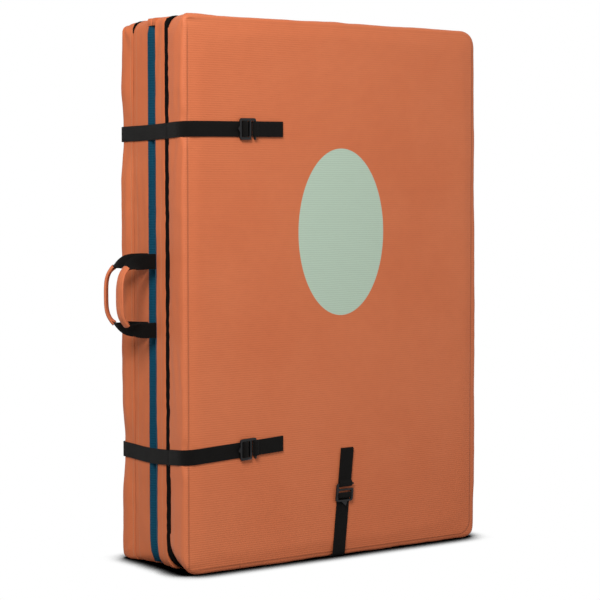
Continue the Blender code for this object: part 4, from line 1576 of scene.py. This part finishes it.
for place, body in (
    ("upper", "upper_strap_front"),
    ("lower", "lower_strap_front"),
    ("bottom", "bottom_strap_front"),
    ("left_shoulder", "left_shoulder_strap"),
    ("right_shoulder", "right_shoulder_strap"),
):
    softened(f"{place}_buckle", f"{place}_hook", body, metal, "black_metal")
softened("left_belt_clip", "left_belt_prongs", "left_belt_wing", plastic, "black_plastic", 0.0004)
softened("right_belt_socket", "right_belt_housing", "right_belt_wing", plastic, "black_plastic", 0.0006)
print("hooks and belt buckle: 7")

# %% [markdown]
# ## Closure straps
#
# Each runs from its sewn end on the back, round the left side and the front edge, to its
# hook. It is two webbings that overlap on the side, because each crosses one joint. Its
# level drops gently between the halves, as webbing under little load does.

# %% Where a closure strap turns
EASE = 0.078
BACK_BEND = 0.011
SPLICE = 0.0010
SPLICE_STEP = 0.00015
CLOSURE_BAR = -0.188
CLOSURE_HOOK = -0.1695
SPLIT_Y = -0.104
TAIL_START = -0.1915
TAIL_END = -0.1735


def strap_level(back_z, edge_z, anchor_z, sag):
    """The strap's level, easing from one slope to the other over the front edge."""
    back_y = at_depth(BACK, WEB_LEVEL)
    front_y = at_depth(FRONT, WEB_LEVEL)
    side_run = back_y - front_y
    side_slope = (edge_z - back_z) / side_run
    face_slope = (anchor_z - edge_z) / (CLOSURE_HOOK - SIDE_X)

    def height_at(points):
        run = (back_y - points[:, 1]) + (points[:, 0] - SIDE_X) - side_run
        eased = np.clip((run + EASE) / (2 * EASE), 0, 1)
        turned = EASE * eased * eased + np.maximum(run - EASE, 0)
        share = np.clip(-run / side_run, 0, 1)
        hang = sag * np.sin(math.pi * share) ** 2
        return edge_z + side_slope * run + (face_slope - side_slope) * turned - hang

    return height_at


print("eases over", 2 * EASE)

# %% Closure straps round the left side


def closure_strap(place, back_z, edge_z, anchor_z, sag):
    """From the sewn end on the back, round the side, to the hook on the front."""
    back_y = at_depth(BACK, WEB_LEVEL)
    front_y = at_depth(FRONT, WEB_LEVEL)
    height_at = strap_level(back_z, edge_z, anchor_z, sag)
    root_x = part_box(f"{place}_strap_root")[1][0]
    corners = [(root_x, back_y, 0), (SIDE_X, back_y, 0), (SIDE_X, SPLIT_Y, 0)]
    route = turned_route(corners, radius=BACK_BEND)
    route[-1, 0] += SPLICE_STEP
    route[:, 2] = np.where(route[:, 0] > SIDE_X + 0.0001, back_z, height_at(route))
    side = webbing(f"{place}_side_webbing", route, UPRIGHT)
    solids = (f"{place}_strap_root", f"{place}_strap_side")
    finish_piece(side, None, black_web, "black_webbing", *solids)
    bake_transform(side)

    corners = [(SIDE_X, SPLIT_Y + SPLICE, 0), (SIDE_X, front_y, 0)]
    corners += [(x, at_depth(FRONT, depth), 0) for x, depth in eye_round(CLOSURE_BAR, 1)]
    route = turned_route(corners[:3], STRAP_BEND)
    eye = turned_route(corners[2:], EYE_TURN, EYE_SPACING)
    whole = np.vstack((route, eye[1:]))
    shallow = whole.copy()
    shallow[:, 1] = np.maximum(shallow[:, 1], front_y)
    whole[:, 2] = height_at(shallow)
    front = webbing(f"{place}_front_webbing", whole, UPRIGHT)
    finish_piece(front, None, black_web, "black_webbing", f"{place}_strap_front")
    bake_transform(front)

    end_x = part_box(f"{place}_anchor_loop")[1][0]
    loop = anchor_round(end_x, CLOSURE_HOOK, -1)
    corners = [(x, at_depth(FRONT, depth), 0) for x, depth in loop]
    whole = turned_route(corners, EYE_TURN, ANCHOR_SPACING)
    whole[:, 2] = height_at(np.stack((whole[:, 0], np.full(len(whole), front_y)), axis=1))
    anchor = webbing(f"{place}_anchor_webbing", whole, UPRIGHT)
    finish_piece(anchor, "front_half", black_web, "black_webbing", f"{place}_anchor_loop")

    tail_route = turned_route([(TAIL_START, front_y, 0), (TAIL_END, front_y, 0)])
    tail_route[:, 2] = height_at(tail_route)
    tail = webbing(f"{place}_buckle_tail", tail_route, UPRIGHT, WEB_WIDTH - 0.001, 0.0012)
    finish_piece(tail, f"{place}_strap_front", black_web, "black_webbing")


closure_strap("upper", 0.7130, 0.7175, 0.7190, 0.0012)
closure_strap("lower", 0.1845, 0.1915, 0.1990, 0.0036)
print("closure straps: 2")

# %% [markdown]
# ## The bottom strap
#
# A third strap hooks to the front face, turns under the pad and is sewn to the back
# half's base. It leans a little to the right on its way up.

# %% Bottom strap
BOTTOM_HOOK = 0.123
BOTTOM_BAR = 0.1045
BOTTOM_BEND = 0.007
under_z = 0.0011
edge_x = 0.0006
anchor_x = 0.0125
lean = (anchor_x - edge_x) / (BOTTOM_HOOK - under_z)
front_y = at_depth(FRONT, WEB_LEVEL)


def leaning(z, depth):
    return (edge_x + lean * (z - under_z), at_depth(FRONT, depth), z)


end_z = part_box("bottom_anchor_loop")[1][2]
corners = [leaning(z, depth) for z, depth in anchor_round(end_z, BOTTOM_HOOK, -1)]
route = turned_route(corners, EYE_TURN, ANCHOR_SPACING)
bottom_anchor = webbing("bottom_anchor_webbing", route, LEVEL)
finish_piece(bottom_anchor, "front_half", black_web, "black_webbing", "bottom_anchor_loop")

near_y = at_depth(FRONT, 0.0008)
eye = [leaning(z, depth) for z, depth in eye_round(BOTTOM_BAR, 1)]
corners = [(edge_x, near_y, under_z), (edge_x, front_y, under_z), eye[0]]
run = turned_route(corners, BOTTOM_BEND)
route = np.vstack((run, turned_route(eye, EYE_TURN, EYE_SPACING)[1:]))
bottom_web = webbing("bottom_webbing", route, LEVEL)
solids = ("bottom_strap_front", "bottom_strap_under")
finish_piece(bottom_web, None, black_web, "black_webbing", *solids)
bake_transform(bottom_web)
root_low, root_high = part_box("bottom_strap_root")
route = turned_route([(edge_x, root_low[1], under_z), (edge_x, root_high[1], under_z)])
bottom_root = webbing("bottom_root_webbing", route, LEVEL)
finish_piece(bottom_root, "back_half", black_web, "black_webbing", "bottom_strap_root")
print("bottom strap leans", round(lean, 3))

# %% [markdown]
# ## Carrying loops
#
# Each loop is a band of webbing, gathered in the middle inside a sleeve of orange nylon.
# The band keeps to the loop's own plane. The sleeve is a flat piece of cloth rolled
# round it, so it starts as a grid and its long edges are merged.

# %% Shape a carrying loop
LOOP_REACH = {"back": 0.0692, "front": 0.0668}
LOOP_RISE = 0.05625
LOOP_MIDDLE = 0.44825
LOOP_X = -0.3013
LOOP_SEAM = 0.0125
LOOP_SQUARENESS = 3.4
GRIP_ANGLE = 46


def loop_frames(start, end, count, seam_y, tilt, reach):
    """Points on the loop, with the direction in its plane and the one across it."""
    lean_angle = math.radians(tilt)
    out = np.array((-math.cos(lean_angle), math.sin(lean_angle), 0))
    sideways = np.array((math.sin(lean_angle), math.cos(lean_angle), 0))
    angles = np.radians(np.linspace(start, end, count))
    power = LOOP_SQUARENESS
    size = (abs(np.cos(angles)) ** power + abs(np.sin(angles)) ** power) ** (-1 / power)
    forth = size * np.cos(angles)
    up = size * np.sin(angles)
    points = np.array((LOOP_X, seam_y, LOOP_MIDDLE)) + reach * forth[:, None] * out
    points[:, 2] += LOOP_RISE * up
    slopes = (abs(forth) ** (power - 1) / reach, np.sign(up) * abs(up) ** (power - 1) / LOOP_RISE)
    normal = np.stack(slopes, axis=1)
    normal /= np.linalg.norm(normal, axis=1)[:, None]
    in_plane = normal[:, :1] * out + normal[:, 1:] * np.array((0, 0, 1))
    return np.degrees(angles), points, in_plane, sideways


print("loop rises", LOOP_RISE)

# %% Make both carrying loops
CORE_WIDTH = 0.0175
SLEEVE_THIN = 0.0032
SLEEVE_WIDE = 0.0108
SLEEVE_AROUND = 40
SLEEVE_ALONG = 32
SLEEVE_CLOTH = 0.048


def loop_band(half, seam_y, tilt, reach):
    """The band of webbing, gathered and turned towards its middle."""
    angles, points, in_plane, sideways = loop_frames(90, -90, 73, seam_y, tilt, reach)
    gather = np.clip((abs(angles) - GRIP_ANGLE + 9) / 34, 0, 1)
    gather = gather * gather * (3 - 2 * gather)
    widths = CORE_WIDTH + (WEB_WIDTH - CORE_WIDTH) * gather
    twist = np.radians(90) * (1 - gather)
    across = in_plane * np.cos(twist)[:, None] + sideways * np.sin(twist)[:, None]
    band = webbing(f"{half}_loop_webbing", points, across, widths, 0.0018)
    finish_piece(band, f"{half}_handle", black_web, "black_webbing", f"{half}_handle_webbing")


def loop_sleeve(half, seam_y, tilt, reach):
    """The sleeve: a flat piece of cloth, rolled round the band and wider at its mouths."""
    _, points, in_plane, sideways = loop_frames(
        GRIP_ANGLE, -GRIP_ANGLE, SLEEVE_ALONG + 1, seam_y, tilt, reach
    )
    deselect()
    bpy.ops.mesh.primitive_grid_add(
        x_subdivisions=SLEEVE_ALONG, y_subdivisions=SLEEVE_AROUND, size=1
    )
    sleeve = just_added(f"{half}_grip_sleeve")
    flat = points_of(sleeve)
    row = np.rint((flat[:, 0] + 0.5) * SLEEVE_ALONG).astype(int)
    turn = (flat[:, 1] + 0.5) * math.tau
    ends = abs(flat[:, 0]) * 2
    mouth = np.clip((ends - 0.80) / 0.20, 0, 1) ** 1.5
    broad = SLEEVE_WIDE * (1 - 0.16 * ends**2) * np.sin(turn)
    ridges = 0.00045 * np.cos(broad * 1250 + 5 * flat[:, 0]) * (1 - mouth)
    deep = (SLEEVE_THIN + 0.0016 * mouth) * np.cos(turn) + ridges * np.sign(np.cos(turn))
    placed = points[row] + in_plane[row] * deep[:, None] + sideways * broad[:, None]
    grip_length = draw_map(sleeve, points, row, flat[:, 1] * SLEEVE_CLOTH)
    move_points(sleeve, placed)
    edit(sleeve)
    bpy.ops.mesh.remove_doubles(threshold=0.00001)
    bpy.ops.mesh.normals_make_consistent(inside=False)
    leave_edit()
    modify(sleeve, "SOLIDIFY", thickness=0.0009, offset=-1)
    subdivide(sleeve)
    grip = f"{half}_handle_grip"
    finish_piece(sleeve, f"{half}_handle", orange_sleeve, "orange_nylon", grip, smooth=60)
    return grip_length


for half, side, tilt in (("back", BACK, 37.0), ("front", FRONT, 0.0)):
    seam_y = at_depth(side, LOOP_SEAM)
    loop_band(half, seam_y, tilt, LOOP_REACH[half])
    grip_length = loop_sleeve(half, seam_y, tilt, LOOP_REACH[half])
print("grip length", round(float(grip_length), 3))

# %% [markdown]
# ## The harness
#
# On the back, two padded shoulder straps and a hip belt turn the shut pad into a pack.
# Each pad is thin foam in a mesh cover, swollen by cloth simulation, with the load-bearing webbing laid
# over it.

# %% Pad of a shoulder strap
SHOULDER_X = 0.09
SHOULDER_TOP = 0.745
PAD_TOP = 0.724
PAD_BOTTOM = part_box("left_shoulder_pad")[0][2]
SHOULDER_BAR = 0.290
SHOULDER_HOOK = 0.2715
PAD_LOW = 0.1033
PAD_HIGH = 0.1153
PAD_CORNER = 0.022
PAD_SWELL = 0.0018
PAD_HALF_WIDTH = 0.030
OVER_PAD = 0.1164
RAMP = 0.012
SEWN_TURN = 0.003


def shoulder_padding(hand, x):
    """Thin foam under mesh, pressed in along its middle by the webbing."""
    pad = grid_box(
        f"{hand}_padding",
        BACK,
        PAD_HIGH,
        PAD_LOW,
        PAD_CORNER,
        14,
        70,
        3,
        PAD_HALF_WIDTH,
        PAD_BOTTOM,
        PAD_TOP,
    )
    bevel_rim(pad, BACK, PAD_HIGH, 0.0035, 3, PAD_CORNER, PAD_HALF_WIDTH, PAD_BOTTOM, PAD_TOP)
    points = points_of(pad)
    swell(pad, abs(points[:, 1] - at_depth(BACK, PAD_LOW)) < 1e-5, PAD_SWELL)
    subdivide(pad)
    ripple(pad, 0.03, 0.0012, (x, 0.4, 0.1))
    points = points_of(pad)
    centre = np.clip(1 - abs(points[:, 0]) / 0.016, 0, 1)
    points[:, 1] -= 0.0012 * np.sqrt(centre) * (points[:, 1] > at_depth(BACK, PAD_HIGH - 0.004))
    points[:, 1] = np.clip(points[:, 1], at_depth(BACK, PAD_LOW), at_depth(BACK, PAD_HIGH))
    points[:, 0] += x
    move_points(pad, points)
    close_back(pad)
    body = f"{hand}_shoulder_strap"
    finish_piece(pad, body, black_padding, "black_webbing", f"{hand}_shoulder_pad", smooth=60)


print("pad height", round(PAD_TOP - PAD_BOTTOM, 3))

# %% Shoulder straps


def shoulder_strap(hand, x):
    """The sewn end, the webbing over its pad and round the bar, and the anchor loop."""

    def upright(z, depth):
        return (x, at_depth(BACK, depth), z)

    root_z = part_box(f"{hand}_shoulder_root")[1][2]
    eye = [upright(z, depth) for z, depth in eye_round(SHOULDER_BAR, -1)]
    run = [
        upright(root_z, WEB_LEVEL),
        upright(SHOULDER_TOP, WEB_LEVEL),
        upright(PAD_TOP + RAMP, WEB_LEVEL),
        upright(PAD_TOP, OVER_PAD),
        upright(PAD_BOTTOM, OVER_PAD),
        upright(PAD_BOTTOM - RAMP, WEB_LEVEL),
        eye[0],
    ]
    turned_eye = turned_route(eye, EYE_TURN, EYE_SPACING)
    route = np.vstack((turned_route(run, 0.005), turned_eye[1:]))
    web = webbing(f"{hand}_shoulder_web", route, LEVEL)
    solids = (f"{hand}_shoulder_root", f"{hand}_shoulder_webbing")
    finish_piece(web, None, black_web, "black_webbing", *solids)
    upright(SHOULDER_TOP + SEWN_TURN, WEB_LEVEL)
    upright(SHOULDER_TOP - SEWN_TURN, WEB_LEVEL)
    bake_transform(web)

    end_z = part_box(f"{hand}_shoulder_anchor")[0][2]
    corners = [upright(z, depth) for z, depth in anchor_round(end_z, SHOULDER_HOOK, 1)]
    route = turned_route(corners, EYE_TURN, ANCHOR_SPACING)
    anchor = webbing(f"{hand}_shoulder_anchor_web", route, LEVEL)
    finish_piece(anchor, "back_half", black_web, "black_webbing", f"{hand}_shoulder_anchor")


for hand, x in (("left", -SHOULDER_X), ("right", SHOULDER_X)):
    shoulder_padding(hand, x)
    shoulder_strap(hand, x)
print("shoulder straps: 2")

# %% Hip belt
BELT_Z = 0.130
BELT_AXIS = 0.240
BELT_BUCKLE = 0.040


def belt_wing(hand, sign):
    far = 1 if sign > 0 else 0
    root_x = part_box(f"{hand}_belt_root")[far][0]
    axis_x = sign * BELT_AXIS
    y = at_depth(BACK, WEB_LEVEL)
    corners = [(x, y, BELT_Z) for x in (root_x, axis_x, sign * BELT_BUCKLE)]
    web = webbing(f"{hand}_belt_web", turned_route(corners), UPRIGHT, BELT_WIDTH)
    solids = (f"{hand}_belt_root", f"{hand}_belt_webbing")
    finish_piece(web, None, belt_web, "black_webbing", *solids)
    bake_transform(web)


belt_wing("left", -1)
belt_wing("right", 1)
print("belt wings: 2")

# %% [markdown]
# ## Studio
#
# The pad stands as a cut-out on white, with one large soft light from the upper left and a white floor
# that shows only a painted shadow under the pad: seen directly, the floor glows white and is darkened
# by ambient occlusion close to the pad. The lamps stay at a plain level. The white comes from the
# floor's and the world's own colour.

# %% Lamps


def soft_lamp(name, place, turn, size, power):
    deselect()
    rotation = [math.radians(angle) for angle in turn]
    bpy.ops.object.light_add(type="AREA", location=place, rotation=rotation)
    lamp = just_added(name)
    lamp.data.size = size
    lamp.data.energy = power


soft_lamp("key_lamp", (-1.5, -1.45, 1.85), (58, 0, -46), 1.0, 54)
soft_lamp("fill_lamp", (1.6, -2.4, 0.9), (78, 0, 34), 1.6, 10)
print("lamps: 2")

# %% Background


def seen_directly(tree):
    path = tree.nodes.new("ShaderNodeLightPath")
    camera_ray, glossy, clear = (
        path.outputs[f"Is {kind} Ray"] for kind in ("Camera", "Glossy", "Transmission")
    )
    return maths(tree, "MAXIMUM", camera_ray, maths(tree, "MAXIMUM", glossy, clear))


world = bpy.data.worlds.new("studio")
scene.world = world
world.use_nodes = True
tree = world.node_tree
sky = tree.nodes["Background"]
sky.inputs["Color"].default_value = (1, 1, 1, 1)
strength = scaled(tree, seen_directly(tree), 0.68, 0.32)
tree.links.new(strength, sky.inputs["Strength"])
print("background strength 1 where it is seen")

# %% Floor
deselect()
bpy.ops.mesh.primitive_plane_add(size=14, location=(0, 0, -0.0004))
floor = just_added("floor")
apply_place(floor)
pale, tree, shader, where = start_material("pale_floor", 0.95)
speckle = noise(tree, where.outputs["Object"], 3.0, 2.0)
tone = mix_colour(tree, speckle, (0.30, 0.30, 0.30, 1), (0.34, 0.34, 0.34, 1))
tree.links.new(tone, shader.inputs["Base Color"])
# Painted shadow: seen directly, the floor glows white, dimmed where ambient occlusion finds the pad
# close.
open_sky = tree.nodes.new("ShaderNodeAmbientOcclusion")
open_sky.samples = 16
open_sky.inputs["Distance"].default_value = 0.045
outside_painted_shadow = between(tree, 0.46, 0.97, open_sky.outputs["AO"])
glow_and_painted_shadow = tree.nodes.new("ShaderNodeEmission")
tree.links.new(maths(tree, "POWER", outside_painted_shadow, 1.4), glow_and_painted_shadow.inputs["Strength"])
choice = tree.nodes.new("ShaderNodeMixShader")
tree.links.new(seen_directly(tree), choice.inputs[0])
tree.links.new(shader.outputs[0], choice.inputs[1])
tree.links.new(glow_and_painted_shadow.outputs[0], choice.inputs[2])
tree.links.new(choice.outputs[0], tree.nodes["Material Output"].inputs["Surface"])
floor.data.materials.append(pale)
floor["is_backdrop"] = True
print("floor at", floor.data.vertices[0].co.z)

# %% Measure and finish
dressed_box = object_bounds()
boxes = {"cad": cad_box, "visual": dressed_box}
plain = {name: [[float(v) for v in corner] for corner in box] for name, box in boxes.items()}
print("sizes:", plain)
